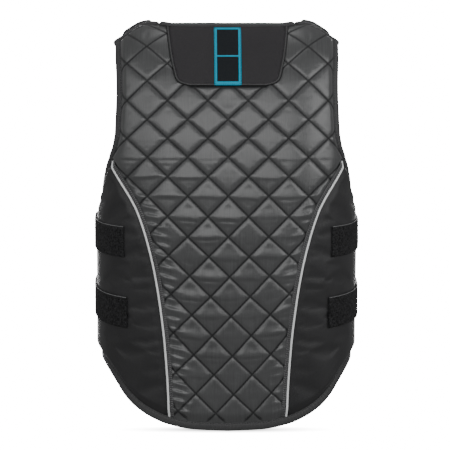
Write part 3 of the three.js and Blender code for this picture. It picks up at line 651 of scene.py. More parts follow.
def quiltShape(x, z, seamSide):
    # crowned diamonds: depth times one minus the product of two rises away from the seams, each a narrow
    # parabola and a broad one; then folds across the middle of a cell, and ripples beside the piped seam
    p, q = quiltPlace(x, z)
    d1, d2 = seamAway(x, z)
    near, broad = quilt["grooveWidth"], quilt["shoulderWidth"]
    step = lambda d: (1 - quilt["grooveShare"] * (1 - np.minimum(d / near, 1)) ** 2
                      - (1 - quilt["grooveShare"]) * (1 - np.minimum(d / broad, 1)) ** 2)
    crown = step(d1) * step(d2)
    # flatter over the shoulders and along the armholes
    lowered = smooth((quilt["shoulderFrom"] - z) / quilt["shoulderOver"])
    beside = smooth((np.abs(x) - quilt["sideFrom"]) / quilt["sideOver"])
    beside = beside * smooth((z - quilt["sideAbove"]) / quilt["sideRise"])
    depth = quilt["grooveDepth"] * mix(quilt["shoulderDepth"], 1, lowered)
    depth = depth * mix(1, quilt["sideDepth"], beside)
    relief = -depth * (1 - crown)
    fp, fq = p - np.floor(p), q - np.floor(q)
    dice = cellChance[np.floor(p).astype(int) % 80, np.floor(q).astype(int) % 80]
    high, wide = fp - fq, fp + fq - 1
    lower = smooth((folds["from"] - z) / folds["over"])
    lower = lower * (1 - folds["hemLoss"] * smooth((folds["hemFrom"] - z) / folds["hemOver"]))
    lower = lower * (folds["even"] - folds["left"] * np.tanh(x / folds["leftReach"]))
    size = folds["height"] * lower * np.clip(dice[..., 0] * 1.5 - 0.2, 0, 1)
    bend = (folds["slant"] * wide + folds["curve"] * wide ** 2) * (dice[..., 2] - 0.5)
    gap = high - (folds["place"] + folds["stray"] * (dice[..., 1] - 0.5) + bend)
    fold = np.exp(-(gap / np.where(gap > 0, folds["above"], folds["under"])) ** 2)
    relief = relief + size * fold * (1 - wide ** 2) ** 1.2 * smooth(np.minimum(d1, d2) / folds["clear"])
    second = np.exp(-((gap + folds["secondPlace"]) / folds["secondWidth"]) ** 2)
    second = second * (dice[..., 3] > folds["secondRare"])
    relief = relief + folds["second"] * size * second * (1 - wide ** 2)
    beside = np.exp(-((seamSide - ripples["away"]) / ripples["width"]) ** 2)
    beside = beside * smooth((ripples["from"] - z) / ripples["over"])
    slanted = z - ripples["slant"] * np.abs(x)
    wave = np.sin(2 * np.pi * slanted / ripples["pitch"] + 1.5 * np.sin(z / 37)
                  + 2.2 * softNoise(x / 25, z / 25, 5))
    return relief + ripples["height"] * beside * np.maximum(wave, -0.5) * np.where(x < 0, 1, ripples["right"])


def quiltNet(columns, rows):
    # rows from hem to top edge: the level rows between the side edges are bent to the hem and to the top edge
    u, v = gridShares(columns, rows)
    level = mix(seamFoot, shoulderCorner, v)
    edgeTurn = np.where(level > seamHead, armholeTurn(level), turnPast(seamTurn(level), level, -vest["gap"]))
    x = u * shell(edgeTurn, level)[..., 0]
    foot, head = hemHeight(turnAcross(x, seamFoot + 0 * x)), topHeight(x)
    z = level + (foot - seamFoot) * (1 - v) ** 3 + (head - shoulderCorner) * v ** 3
    return x, z


def padFaces(away, lift):
    # heights of a pad's outer and inner face, which draw together towards a bound edge
    taper = taperAt(away)
    return lift - taper, taper - vest["pad"]


x, z = quiltNet(quilt["columns"], quilt["rows"])
quiltPoints, quiltNormals = acrossShell(x, z)
sideAway = edgeAway(quiltPoints, "lr")
onSeam = z < seamHead
freeAway = np.minimum(edgeAway(quiltPoints, "bt"), np.where(onSeam, 1e3, sideAway))
freeAway = np.minimum(freeAway, np.hypot(sideAway, np.maximum(seamHead - z, 0)))
seamSide = np.where(onSeam, sideAway, 1e3)
fade = smooth(np.minimum(freeAway, sideAway) / quilt["edgeFade"])
dip = quilt["seamDip"] * (1 - smooth(seamSide / quilt["seamWidth"]))
# pressed flat under the yoke
yokeInside = (smooth((yokeReach(z) + quilt["yokeMargin"] - np.abs(x)) / quilt["yokeFade"])
              * smooth((z - yokeFloor + quilt["yokeFade"]) / quilt["yokeFade"]))
relief = mix(quiltShape(x, z, seamSide) * fade, quilt["underYoke"], yokeInside)

swellSizes = {"stiffness": 15, "bending": 6.0, "pressure": 4.0, "spare": 0.004, "frames": 20, "cap": 1.6,
              "columns": 101, "rows": 225, "relief": 0.75, "held": 1.5, "share": 0.45}
simX, simZ = quiltNet(swellSizes["columns"], swellSizes["rows"])
simPoints, simNormals = acrossShell(simX, simZ)
simRelief = quiltShape(simX, simZ, np.full(simX.shape, 1e3)) * swellSizes["relief"]
simPoints = simPoints + simNormals * simRelief[..., None]
margin = quilt["yokeMargin"]
simYoke = (np.abs(simX) < yokeReach(simZ) + margin) & (simZ > yokeFloor - margin)
simHeld = (np.minimum(*seamAway(simX, simZ)) < swellSizes["held"]) | (edgeAway(simPoints) < 3) | simYoke
moved = swell(simPoints, simHeld, swellSizes, "quilted back")
lift = (sampleGrid(moved, quilt["rows"], quilt["columns"]) * quiltNormals).sum(-1)
lift = lift * swellSizes["share"] * fade * (1 - yokeInside)
quiltBack = closedPad("backPanelQuilted", quiltPoints, quiltNormals, *padFaces(freeAway, relief - dip + lift),
                      ["quiltedSatin", "lining"])
# how near each point is to a sewn line, for the satin's material, which paints shade into these grooves
sewn = np.exp(-(np.minimum(*seamAway(x, z)) / quilt["threadWidth"]) ** 2) * (1 - yokeInside) * fade
values = np.zeros(len(quiltBack.data.vertices), np.float32)
values[:sewn.size] = sewn.reshape(-1)
quiltBack.data.attributes.new("groove", "FLOAT", "POINT").data.foreach_set("value", values)
finishPiece(quiltBack, ["back_panel_quilted"])
print("quilted back made")

# Quilting thread: a dark dash every few millimetres along each seam, laid on the finished face. Every stitch
# of the vest is given by its pitch, length and width, and by its tilt where it doesn't lie along its line.
quiltThread = {"stitch": (3.6, 2.6, 0.85), "proud": 0.15, "sideMargin": 8.5, "edgeMargin": 5.0,
               "yokeMargin": 2, "seams": 14, "samples": 1100, "shortest": 20}


def seamAcross(number, sign, z):
    # place across, at height z, of the seam where (across + sign * up) / 2 is the given whole number; a few
    # rounds settle the bow of the net
    x = 0 * z
    below = np.minimum(z - quilt["driftFrom"], 0)
    for _ in range(4):
        across = 2 * number - sign * tableCurve(quiltLevels, z - netBow(np.clip(x, -150, 150), z))
        x = across * quilt["halfWidth"] * (1 + quilt["narrowing"] * below) - quilt["drift"] * below
    return x


def seamStretches(number, sign):
    # the stretches of a seam that lie on the open satin, inside the edges and clear of the yoke
    x = seamAcross(number, sign, seamZ)
    turn = turnAcross(x, seamZ)
    margin = quiltThread["edgeMargin"]
    inside = (np.abs(x) < edgeAcross - quiltThread["sideMargin"]) & (seamZ > hemHeight(turn) + margin)
    inside = inside & (seamZ < topHeight(x) - margin)
    margin = quiltThread["yokeMargin"]
    inside = inside & ((np.abs(x) > yokeReach(seamZ) + margin) | (seamZ < yokeFloor - margin))
    turns = np.flatnonzero(np.diff(np.concatenate([[0], inside.astype(int), [0]])))
    ends = zip(turns[::2], turns[1::2])
    return [(turn[a:b], seamZ[a:b]) for a, b in ends if b - a >= quiltThread["shortest"]]


bpy.context.view_layer.update()
seamZ = np.linspace(-532, 24, quiltThread["samples"])
edgeAcross = shell(np.where(seamZ > seamHead, armholeTurn(seamZ), seamTurn(seamZ)), seamZ)[..., 0]
quiltRuns = []
for number in range(-quiltThread["seams"], quiltThread["seams"] + 1):
    for turn, z in seamStretches(number, 1) + seamStretches(number, -1):
        path, normals, _ = evenly(*onShell(turn, z), quiltThread["stitch"][0])
        laid = [quiltBack.closest_point_on_mesh(tuple(point * 0.001))[1] for point in path]
        path = np.array([tuple(point) for point in laid]) * 1000 + normals * quiltThread["proud"]
        quiltRuns.append(stitches(path, normals, *quiltThread["stitch"]))
stitchPiece("quiltStitches", quiltRuns, "darkThread")
print("quilting thread laid")

# Plain sides of the back
wing = {"columns": 73, "rows": 169, "fade": 14, "creaseHeight": 3.0, "creaseSlant": 0.42, "creaseLength": 9.5,
        "creaseFrom": -270, "creaseOver": 120, "unevenness": 0.8, "swell": 0.7}


def wingNet(columns, rows):
    # a Coons patch between piped seam, side edge, hem and armhole
    u, v = gridShares(columns, rows, 0)
    seamZ = mix(seamFoot, seamHead, v)
    seamT = turnPast(seamTurn(seamZ), seamZ, vest["gap"])
    footTurn, headTurn = float(seamT[0, 0]), float(seamT[-1, 0])
    below, above = mix(footTurn, vest["side"], u), mix(headTurn, vest["side"], u)
    turn = mix(below, above, v) + (1 - u) * (seamT - mix(footTurn, headTurn, v))
    z = (mix(hemHeight(below), underarmHeight(above), v)
         + (1 - u) * (seamZ - mix(hemHeight(footTurn), underarmHeight(headTurn), v)))
    return turn, z


def wingShape(x, z, seed):
    # a few long soft creases that run down from the side towards the middle
    slant = z + wing["creaseSlant"] * np.abs(x)
    creases = np.sin(slant / wing["creaseLength"] + 1.7 * softNoise(x / 60, z / 60, seed))
    creases = np.sign(creases) * np.abs(creases) ** 1.5
    patch = smooth(softNoise(x / 55 + 3, z / 45, seed + 1, 2) * 2.2 + 0.1)
    patch = patch * smooth((wing["creaseFrom"] - z) / wing["creaseOver"])
    uneven = wing["unevenness"] * softNoise(x / 30, z / 38, seed + 2, 2)
    return wing["creaseHeight"] * creases * patch + uneven


wingPoints, wingNormals = onShell(*wingNet(wing["columns"], wing["rows"]))
boundAway, wingSeam = edgeAway(wingPoints, "rbt"), edgeAway(wingPoints, "l")
dip = quilt["seamDip"] * (1 - smooth(wingSeam / quilt["seamWidth"]))
fade = smooth(np.minimum(boundAway, wingSeam) / wing["fade"])
wingSizes = {"stiffness": 10, "bending": 1.0, "pressure": 2.0, "spare": 0.012, "frames": 20, "cap": 2.0}
moved = swell(wingPoints[::2, ::2], edgeAway(wingPoints[::2, ::2]) < 3, wingSizes, "sides of the back")
moved = (sampleGrid(moved, wing["rows"], wing["columns"]) * wingNormals).sum(-1)
for side, seed in (("right", 21), ("left", 31)):
    shape = (wingShape(wingPoints[..., 0], wingPoints[..., 2], seed) + wing["swell"] * moved) * fade - dip
    sidePad(side, f"backWing{side.capitalize()}", wingPoints, wingNormals, *padFaces(boundAway, shape),
            ["plainShell", "lining"], "plain_shell", f"back_wing_{side}", fill=0.7)
print("sides of the back made")

# Front halves
front = {"columns": 9, "hemSteps": 7, "neckRow": 7, "shoulderSteps": 6, "finer": 8, "riseHandle": 0.75,
         "leanHandle": 0.35, "runHandle": 0.4, "shoulderGap": 8, "sideGap": 2, "binding": 9, "zip": 8,
         "shoulderInner": 0.545, "shoulderOuter": 0.856, "fade": 14, "unevenness": 0.9, "swell": 0.7}


def shoulderEnd(share):
    x = mix(front["shoulderOuter"], front["shoulderInner"], np.asarray(share, float)) * vest["halfWidth"]
    z = topHeight(x)
    return acrossShell(x, z)


def frontStart(share):
    # end of the back's shoulder, then its binding, the gap over the tab and the front's own binding
    point, normal = shoulderEnd(share)
    line = shoulderEnd(1.0)[0] - shoulderEnd(0.0)[0]
    away = unit(np.cross(np.broadcast_to(line, normal.shape), normal))
    inner = (vest["pad"] - vest["rim"]) / 2 - vest["pad"]
    forward = front["binding"] * away[..., 1] + (inner - 1) * normal[..., 1]
    move = np.stack([0 * forward, forward + front["shoulderGap"] + front["binding"],
                     front["binding"] * away[..., 2]], -1)
    return point + move


def frontShoulder(share, t):
    # cubic curve from the chest line over the shoulder to the end of the back's shoulder
    down, outer, inner = frontRows[-1]
    start, end = shell(mix(outer, inner, share), heightAt(down) + 0 * share), frontStart(share)
    rise = (end[..., 2] - start[..., 2]) * front["riseHandle"]
    a = start + np.stack([0 * rise, -rise * front["leanHandle"], rise], -1)
    b = end + np.stack([0 * rise, (start[..., 1] - end[..., 1]) * front["runHandle"], 0 * rise], -1)
    r = 1 - t
    return r ** 3 * start + 3 * r * r * t * a + 3 * r * t * t * b + t ** 3 * end


def frontNet():
    # rows from the hem to the armpit, then the chest's rows, then the rows over the shoulder
    share = np.linspace(0, 1, front["columns"])
    sideTurnAt = lambda z: turnPast(vest["side"], z, 2 * front["binding"] + front["sideGap"])
    middleTurn = lambda z: turnPast(180.0, z, -front["zip"] / 2)
    armpit = heightAt(frontRows[0, 0])
    net = []
    for j in range(front["hemSteps"]):
        rough = mix(float(hemHeight(vest["side"])), armpit, j / front["hemSteps"])
        turn = mix(sideTurnAt(rough), middleTurn(rough), share)
        net.append(shell(turn, mix(hemHeight(turn), armpit, j / front["hemSteps"])))
    for down, outer, inner in frontRows:
        level = heightAt(down)
        turn = mix(max(outer, float(sideTurnAt(level))), min(inner, float(middleTurn(level))), share)
        net.append(shell(turn, level + 0 * turn))
    for j in range(1, front["shoulderSteps"] + 1):
        net.append(frontShoulder(share, j / front["shoulderSteps"]))
    return np.stack(net)


frontPoints = refine(frontNet(), front["finer"])
frontNormals = netNormal(frontPoints)
frontAway = edgeAway(frontPoints)
frontFade = smooth(frontAway / front["fade"])
fx, fz = frontPoints[..., 0], frontPoints[..., 2]
frontSizes = {**wingSizes, "cap": 2.2}
moved = swell(frontPoints[::3, ::2], edgeAway(frontPoints[::3, ::2]) < 3, frontSizes, "front halves")
moved = (sampleGrid(moved, *frontPoints.shape[:2]) * frontNormals).sum(-1)
for side, seed in (("right", 41), ("left", 51)):
    shape = (front["unevenness"] * softNoise(fx / 34, fz / 40, seed, 2) + front["swell"] * moved) * frontFade
    sidePad(side, f"frontPanel{side.capitalize()}", frontPoints, frontNormals, *padFaces(frontAway, shape),
            ["plainShell", "lining"], "plain_shell", f"front_panel_{side}", fill=0.7)
print("front halves made")

# Bindings: a folded tape along every bound edge, with its line of stitches
tape = {"width": 9, "neckWidth": 7, "cover": 2.4, "proud": 1.0, "neckProud": 3.0, "pitch": 1.8,
        "stitch": (3.6, 2.5, 0.75), "stitchIn": 1.3, "stitchRise": 0.1, "trim": 2.4, "poke": 3.5}
rimOut, rimIn = -(vest["pad"] - vest["rim"]) / 2, (vest["pad"] - vest["rim"]) / 2 - vest["pad"]
stitchRuns = []


def otherSide(path, normals):
    return (path * mirror["left"])[::-1], (normals * mirror["left"])[::-1]


def besides(path, normals):
    # direction across a path, away from the pad
    return unit(np.cross(unit(np.gradient(path, axis=0)), normals))


def edgeBinding(name, node, path, normals, width=tape["width"], proud=tape["proud"], trims=(0, 0)):
    path, normals, way = evenly(path, normals, tape["pitch"])
    keep = (way >= trims[0]) & (way <= way[-1] - trims[1])
    path, normals, way = path[keep], unit(normals[keep]), way[keep]
    profile = tapeProfile(rimIn - tape["proud"], rimOut + proud, -tape["cover"], width)
    sweep(name, path, normals, profile, "bindingTape", [node], along=way)
    line = (path + besides(path, normals) * (tape["stitchIn"] - tape["cover"])
            + normals * (rimOut + proud + tape["stitchRise"]))
    stitchRuns.append(stitches(line, normals, *tape["stitch"]))


upSeam = quiltPoints[:, -1, 2] > seamHead
armPath = np.concatenate([wingPoints[-1, ::-1], quiltPoints[upSeam, -1]])
armNormals = np.concatenate([wingNormals[-1, ::-1], quiltNormals[upSeam, -1]])
poke = armPath[-1] + unit(armPath[-1] - armPath[-4]) * tape["poke"]
armPath, armNormals = np.concatenate([armPath, poke[None]]), np.concatenate([armNormals, armNormals[-1:]])
top, topNormals = quiltPoints[-1, ::-1], quiltNormals[-1, ::-1]
neckHalf = front["shoulderInner"] * vest["halfWidth"]
overShoulder, overNeck = top[:, 0] > neckHalf, np.abs(top[:, 0]) <= neckHalf
neckRow = (front["hemSteps"] + front["neckRow"]) * front["finer"]
frontUp = frontPoints[neckRow:, -1], frontNormals[neckRow:, -1]
frontRound = [np.concatenate([a[-1, ::-1], a[::-1, 0][1:], a[0][1:]]) for a in (frontPoints, frontNormals)]
shoulderLine = top[overShoulder], topNormals[overShoulder]
trim = tape["trim"]
sides = {
    "ArmholeBinding": ("back_armhole_binding", (armPath, armNormals), (0, 0)),
    "SideBinding": ("back_side_binding", (wingPoints[:, -1], wingNormals[:, -1]), (0, 0)),
    "ShoulderBinding": ("back_shoulder_binding", shoulderLine, (0, trim)),
    "FrontNeckBinding": ("front_neck_binding", frontUp, (trim, trim)),
    "FrontEdgeBinding": ("front_edge_binding", frontRound, (0, trim)),
}
for name, (node, line, trims) in sides.items():
    edgeBinding(f"right{name}", f"{node}_right", *line, trims=trims)
    edgeBinding(f"left{name}", f"{node}_left", *otherSide(*line), trims=trims[::-1])
edgeBinding("backNeckBinding", "back_neck_binding", top[overNeck], topNormals[overNeck],
            tape["neckWidth"], tape["neckProud"], (trim, trim))
leftHem = otherSide(wingPoints[0], wingNormals[0])
edgeBinding("backHemBinding", "back_hem_binding", np.concatenate([leftHem[0], quiltPoints[0], wingPoints[0]]),
            np.concatenate([leftHem[1], quiltNormals[0], wingNormals[0]]))
stitchPiece("bindingStitches", stitchRuns, "darkThread")
print("bindings made")

# Piped seams: a bright cord, and beside it a narrow flange that is overstitched
cord = {"radius": 1.5, "corners": 10, "pitch": 1.0, "twistPitch": 2.6, "twist": 0.05, "sunk": 0.2,
        "flangeWidth": 7.0, "flangeRise": 0.6, "stitch": (3.0, 3.0, 1.3), "stitchRise": 0.75,
        "stitchLines": ((3.2, 1.0), (5.7, -1.0))}
seamZ = np.linspace(seamHead - 1.0, seamFoot + vest["gap"], 260)
pipePath, pipeNormals, way = evenly(*onShell(seamTurn(seamZ), seamZ), cord["pitch"])
drop = -quilt["seamDip"] - taperAt(np.minimum(way, way[-1] - way)) + cord["sunk"]
angle = np.arange(cord["corners"]) * 2 * np.pi / cord["corners"]
twist = 1 + cord["twist"] * np.cos(2 * np.pi * way[:, None] / cord["twistPitch"] + angle[None])
ring = np.stack([np.cos(angle) * cord["radius"] * twist,
                 cord["radius"] + np.sin(angle) * cord["radius"] * twist], -1)
flange = np.array([[1.0, -1.2], [cord["flangeWidth"], -0.9], [cord["flangeWidth"] + 0.3, 0.2],
                   [cord["flangeWidth"] - 0.3, 0.9], [1.0, 0.5]])
flangeRuns = []
for side in ("right", "left"):
    path, normals = pipePath * mirror[side], unit(pipeNormals) * mirror[side]
    sweep(f"{side}Piping", path, normals, ring, "pipingCord", [f"piping_{side}"],
          drop, way)
    # the flange lies on the quilted side of the cord
    away = besides(path, normals)
    inward = -np.sign(away[:, 0].mean()) * mirror[side][0]
    shaped = (flange * np.array([inward, 1]))[::int(inward)]
    rise = drop + cord["flangeRise"]
    sweep(f"{side}Flange", path, normals, shaped, "bindingTape", drop=rise, along=way)
    for place, tilt in cord["stitchLines"]:
        line = path + away * (inward * place) + normals * (rise + cord["stitchRise"])[:, None]
        flangeRuns.append(stitches(line, normals, *cord["stitch"], tilt))
stitchPiece("flangeStitches", flangeRuns, "thread")
print("piping made")

# Neck yoke with its rolled edge
yoke = {"columns": 121, "rows": 81, "thickness": 2.0, "under": -2.6, "edge": 3.5, "edgeDrop": 1.3,
        "unevenness": 0.35, "pucker": 0.25, "puckerReach": 9, "cordRadius": 1.35, "cordPitch": 1.2,
        "cordPlace": [0.2, 1.0],
        "stitchIn": 2.6, "stitchRise": 1.75, "stitch": (3.0, 2.1, 0.6)}
u, v = gridShares(yoke["columns"], yoke["rows"])
z = mix(yokeFloor, heightAt(yokeRows[0, 0]), v) + 0 * u
x = u * yokeReach(z)
yokePoints, yokeNormals = acrossShell(x, z)


def backTaper(points):
    # how far the back's face is thinned near its top edge
    head = topHeight(points[..., 0])
    run, rise = np.gradient(points[..., 1], axis=0), np.gradient(points[..., 2], axis=0)
    return taperAt((head - points[..., 2]) * np.hypot(1, run / np.maximum(rise, 0.05)))


yokeTaper = backTaper(yokePoints)
yokeAway = edgeAway(yokePoints, "lrb")
hand = (yoke["unevenness"] * softNoise(x / 16, z / 12, 61)
        + yoke["pucker"] * smooth(1 - yokeAway / yoke["puckerReach"]) * np.sin(x / 3.1 + z / 2.7))
rounded = yoke["edgeDrop"] * (1 - smooth(yokeAway / yoke["edge"]))
top = yoke["thickness"] + hand * smooth(yokeAway / 3) - rounded
piece = closedPad("neckYoke", yokePoints, yokeNormals, top - yokeTaper, yoke["under"] - yokeTaper,
                  ["yokeCloth", "lining"])
finishPiece(piece, ["neck_yoke"])
border = [np.concatenate([a[::-1, 0], a[0][1:], a[1:, -1]]) for a in
          (yokePoints - yokeNormals * yokeTaper[..., None], yokeNormals)]
path, normals, way = evenly(*border, yoke["cordPitch"])
normals = unit(normals)
circle = np.stack([np.cos(angle), np.sin(angle)], 1)
sweep("yokeEdge", path, normals, circle * yoke["cordRadius"] + yoke["cordPlace"], "bindingTape",
      along=way)
line = path - besides(path, normals) * yoke["stitchIn"] + normals * yoke["stitchRise"]
stitchPiece("yokeStitches", [stitches(line, normals, *yoke["stitch"])], "darkThread")

# Label: a woven frame with two bare fields
label = {"width": 37, "bottom": -1.6, "top": 15.6, "side": 3.6, "band": 4.9, "divider": -26.0, "line": 1.5,
         "thickness": 1.0, "frameRise": 0.2, "edgeDrop": 0.5, "edgeWidth": 0.3, "sunk": 0.4,
         "columns": 77, "rows": 161, "uprightStitch": (2.4, 1.3, 0.7, 1.2),
         "levelStitch": (2.4, 1.6, 0.6, 0.3), "stitchRise": 0.25}
u, v = gridShares(label["columns"], label["rows"])
z = mix(yokeFloor + label["bottom"], label["top"], v) + 0 * u
x = u * label["width"] / 2 + 0 * z
labelPoints, labelNormals = acrossShell(x, z)
labelTaper = backTaper(labelPoints)
sideward, above, below = label["width"] / 2 - np.abs(x), z - z[0, 0], z[-1, 0] - z
edge = np.minimum(sideward, np.minimum(above, below))
framed = ((sideward < label["side"]) | (above < label["band"]) | (below < label["band"])
          | (np.abs(z - label["divider"]) < label["line"] / 2))
face = yoke["thickness"] + label["thickness"]
top = face + label["frameRise"] * framed - label["edgeDrop"] * (edge < label["edgeWidth"])
piece = closedPad("yokeLabel", labelPoints, labelNormals, top - labelTaper,
                  yoke["thickness"] - label["sunk"] - labelTaper, ["labelWeave", "labelDark"])
quads = gridQuads(label["rows"], label["columns"])
kinds = np.zeros(len(piece.data.polygons), np.int32)
kinds[:len(quads)] = framed.reshape(-1)[quads].sum(1) < 2
piece.data.polygons.foreach_set("material_index", kinds)
finishPiece(piece, ["yoke_label"])
ridge = labelPoints + labelNormals * (face + label["stitchRise"] - labelTaper)[..., None]
labelRuns = [stitches(ridge[:, k], labelNormals[:, k], *label["uprightStitch"]) for k in (2, -3)]
labelRuns += [stitches(ridge[k], labelNormals[k], *label["levelStitch"]) for k in (3, -4)]
stitchPiece("labelStitches", labelRuns, "darkThread")
print("yoke and label made")

# Waist straps: looped pile with a grey cord along the top that paints the highlight of its edge. For each
# level: how far down it is at the side and at its end on the back, and the turn of that end.
strap = {"width": 41, "thickness": 3.0, "lift": 0.8, "sunk": 0.4, "frontTurn": 126, "rows": 41,
         "columns": 201, "pile": 0.28, "rise": 3.6, "endRise": 0.8, "edgeDrop": 1.1, "edgeWidth": 1.6,
         "fold": 1.1, "foldPlace": 11, "foldWidth": 1.3, "wave": 0.5,
         "highlightRise": 0.3, "highlightRadius": 0.567, "highlightPitch": 2.0,
         "upper": (0.522, 0.5435, 45.3), "lower": (0.682, 0.7149, 43.7)}
for level in ("upper", "lower"):
    sideDown, endDown, endTurn = strap[level]
    slope = (endDown - sideDown) / (90 - endTurn)
    v = np.linspace(-0.5, 0.5, strap["rows"])[:, None]
    for side, seed in (("right", 71), ("left", 72)):
        turn = np.linspace(endTurn, strap["frontTurn"], strap["columns"])[None, :] + 0 * v
        raised = strap["rise"] * smooth((turn - endTurn) / (90 - endTurn)) + strap["endRise"]
        z = heightAt(sideDown + slope * (90 - turn)) + v * strap["width"] + raised
        points, normals = onShell(turn, z)
        away = edgeAway(points)
        ruffle = chance.normal(0, strap["pile"], z.shape) * smooth(away / 1.5 + 0.3)
        rounded = strap["edgeDrop"] * (1 - smooth(away / strap["edgeWidth"]))
        fromEnd = wayLength(points, 1) - strap["foldPlace"]
        fold = strap["fold"] * np.exp(-(fromEnd / strap["foldWidth"]) ** 2)
        wave = strap["wave"] * softNoise(turn / 6, z / 30, seed, 2)
        height = strap["lift"] + strap["thickness"] + ruffle - rounded - fold + wave
        name = f"{side}{level.capitalize()}Strap"
        sidePad(side, name, points, normals, height, np.full(z.shape, strap["lift"] - strap["sunk"]),
                ["strapPile", "strapPile"], "strap_web", f"strap_{level}_{side}")
        # painted highlight: a thin grey cord laid along the strap's top edge
        edge = points[-1] + normals[-1] * height[-1][:, None] + normals[-1] * strap["highlightRise"]
        path, edgeNormals, way = evenly(edge * mirror[side], normals[-1] * mirror[side], strap["highlightPitch"])
        sweep(f"{name}Edge", path, unit(edgeNormals), circle * strap["highlightRadius"], "thread",
              along=way)
print("straps made")

# Hidden tabs under the shoulder joints
tab = {"width": 34, "thickness": 3, "reach": 21, "clear": 0.8, "edgeDrop": 0.8, "edgeWidth": 2,
       "overFront": (1.0, 0.9, 0.8), "finer": 8}
outerEnd, innerEnd = front["shoulderOuter"], front["shoulderInner"]
across = (outerEnd + innerEnd) / 2 * vest["halfWidth"] + np.array([-0.5, 0.0, 0.5]) * tab["width"]
share = (outerEnd - across / vest["halfWidth"]) / (outerEnd - innerEnd)
rows = []
for k in (3, 2, 1, 0):
    z = topHeight(across) - k / 3 * tab["reach"]
    rows.append(shell(turnAcross(across, z), z))
rows += [frontShoulder(share, t) for t in tab["overFront"]]
tabPoints = refine(np.stack(rows), tab["finer"])
tabNormals = netNormal(tabPoints)
tabTop = vest["pad"] + tab["clear"]
thin = tab["edgeDrop"] * (1 - smooth(edgeAway(tabPoints) / tab["edgeWidth"]))
tabFoot = tabTop + tab["thickness"]
for side in ("right", "left"):
    sidePad(side, f"{side}ShoulderTab", tabPoints, tabNormals, -(tabTop + thin), thin - tabFoot,
            ["strapPile", "strapPile"], "strap_web", f"shoulder_tab_{side}")

# Front closure: a tape, two rows of teeth and a slider
zipper = {"tape": [4.1, 5.9], "depth": -10.5, "teeth": -7.4, "fromMiddle": 1.3, "tooth": (2.2, 3.2, 1.5, 1.4),
          "below": 2.4, "slider": (-1.2, 1.2, -3.0, 3.0), "sliderRise": 1.1}
z = np.linspace(float(hemHeight(180)), heightAt(frontRows[front["neckRow"], 0]) - zipper["below"], 90)
path = shell(180.0, z)
normals = np.broadcast_to(np.array([0.0, 1.0, 0.0]), path.shape)
bar = np.array([[-1, 0.5], [-1, -0.5], [1, -0.5], [1, 0.5]]) * zipper["tape"] + [0, zipper["depth"]]
sweep("frontZipTape", path, normals, bar, "zipCoil", ["front_zip"])
teeth = [stitches(path + np.array([s * zipper["fromMiddle"], zipper["teeth"], 0]), normals, *zipper["tooth"])
         for s in (-1, 1)]
stitchPiece("frontZipTeeth", teeth, "zipCoil")
sweep("frontZipSlider", path[-8:-5] + np.array([0, zipper["teeth"] + zipper["sliderRise"], 0]), normals[:3],
      tapeProfile(*zipper["slider"]), "zipCoil")
print("closure made")

# Floor, light and camera
# the floor's glow drops softly right under the vest, a painted shadow
stage = {"floor": -0.5375, "span": 30.0, "paper": (0.86, 0.86, 0.86, 1), "shadowOval": 0.11, "shadowFrom": 0.3,
         "shadowTo": 1.7, "shadowGlow": 0.8}
light = {"sky": 0.33, "paper": 18.0}
# azimuth, elevation, distance, width, height, power
lamps = {
    "keyLight": (0, 19.5, 2.8, 2.9, 1.18, 24.5), "leftLight": (-50, 19.5, 3.0, 2.1, 1.25, 12.0),
    "rightLight": (57, 18, 3.0, 1.9, 1.25, 21.0), "topLight": (0, 80, 2.5, 1.8, 0.9, 9.0),
    "frontLight": (180, 6, 3.0, 2.4, 1.2, 75.0),
}
white = (1, 1, 1, 1)
bpy.ops.mesh.primitive_plane_add(size=stage["span"], location=(0, 0, stage["floor"]))
floor = bpy.context.object
floor.name = "floor"
pale = bpy.data.materials.new("paleFloor")
pale.use_nodes = True
tree = pale.node_tree
shade = tree.nodes["Principled BSDF"]
for socket, value in {"Base Color": stage["paper"], "Roughness": 0.9, "Emission Color": white}.items():
    shade.inputs[socket].default_value = value
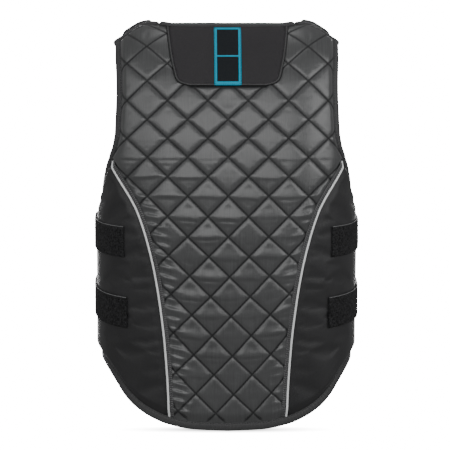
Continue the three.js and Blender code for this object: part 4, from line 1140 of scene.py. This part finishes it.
# white paper with a painted shadow: its glow drops softly right under the vest
place = addNode(tree, "ShaderNodeTexCoord")
shadowOval = addNode(tree, "ShaderNodeMapping", Scale=(1 / stage["shadowOval"], 1 / stage["shadowOval"], 0))
reach = addNode(tree, "ShaderNodeVectorMath", operation="LENGTH")
ends = {"From Min": stage["shadowFrom"], "From Max": stage["shadowTo"], "To Min": stage["shadowGlow"],
        "To Max": light["paper"]}
glow = addNode(tree, "ShaderNodeMapRange", interpolation_type="SMOOTHSTEP", **ends)
tree.links.new(place.outputs["Object"], shadowOval.inputs["Vector"])
tree.links.new(shadowOval.outputs["Vector"], reach.inputs[0])
tree.links.new(reach.outputs["Value"], glow.inputs["Value"])
tree.links.new(glow.outputs["Result"], shade.inputs["Emission Strength"])
floor.data.materials.append(pale)
floor.visible_glossy = False
floor.visible_diffuse = False


def softLight(name, azimuth, elevation, distance, width, height, power):
    # an area lamp on a sphere round the vest's middle, facing it; azimuth 0 is the camera's side
    a, e = math.radians(azimuth), math.radians(elevation)
    data = bpy.data.lights.new(name, "AREA")
    data.shape = "RECTANGLE"
    data.size, data.size_y, data.energy = width, height, power
    lamp = bpy.data.objects.new(name, data)
    lamp.location = (distance * math.cos(e) * math.sin(a), -distance * math.cos(e) * math.cos(a),
                     -0.2 + distance * math.sin(e))
    lamp.rotation_euler = (math.pi / 2 - e, 0, a)
    bpy.context.scene.collection.objects.link(lamp)


for name, values in lamps.items():
    softLight(name, *values)

world = bpy.data.worlds.new("studio")
bpy.context.scene.world = world
world.use_nodes = True
tree = world.node_tree
tree.nodes.clear()
# the paper behind the vest is bright, but its light on the vest is dim
blend = addNode(tree, "ShaderNodeMixShader")
tree.links.new(addNode(tree, "ShaderNodeLightPath").outputs["Is Camera Ray"], blend.inputs["Fac"])
for place, strength in ((1, light["sky"]), (2, light["paper"])):
    side = addNode(tree, "ShaderNodeBackground", Color=white, Strength=strength)
    tree.links.new(side.outputs["Background"], blend.inputs[place])
tree.links.new(blend.outputs["Shader"], addNode(tree, "ShaderNodeOutputWorld").inputs["Surface"])

photo = {"distance": 8.0, "turn": -1.2, "middle": (-0.0017, 0.0, -0.2553), "span": 0.621}
lens = bpy.data.cameras.new("camera")
lens.sensor_width = 36
lens.lens = 36 * photo["distance"] / photo["span"]
lens.clip_end = 100
camera = bpy.data.objects.new("camera", lens)
a = math.radians(photo["turn"])
camera.location = (photo["middle"][0] + photo["distance"] * math.sin(a),
                   -photo["distance"] * math.cos(a), photo["middle"][2])
camera.rotation_euler = (math.pi / 2, 0, a)
bpy.context.scene.collection.objects.link(camera)
bpy.context.scene.camera = camera
print("light and camera set")
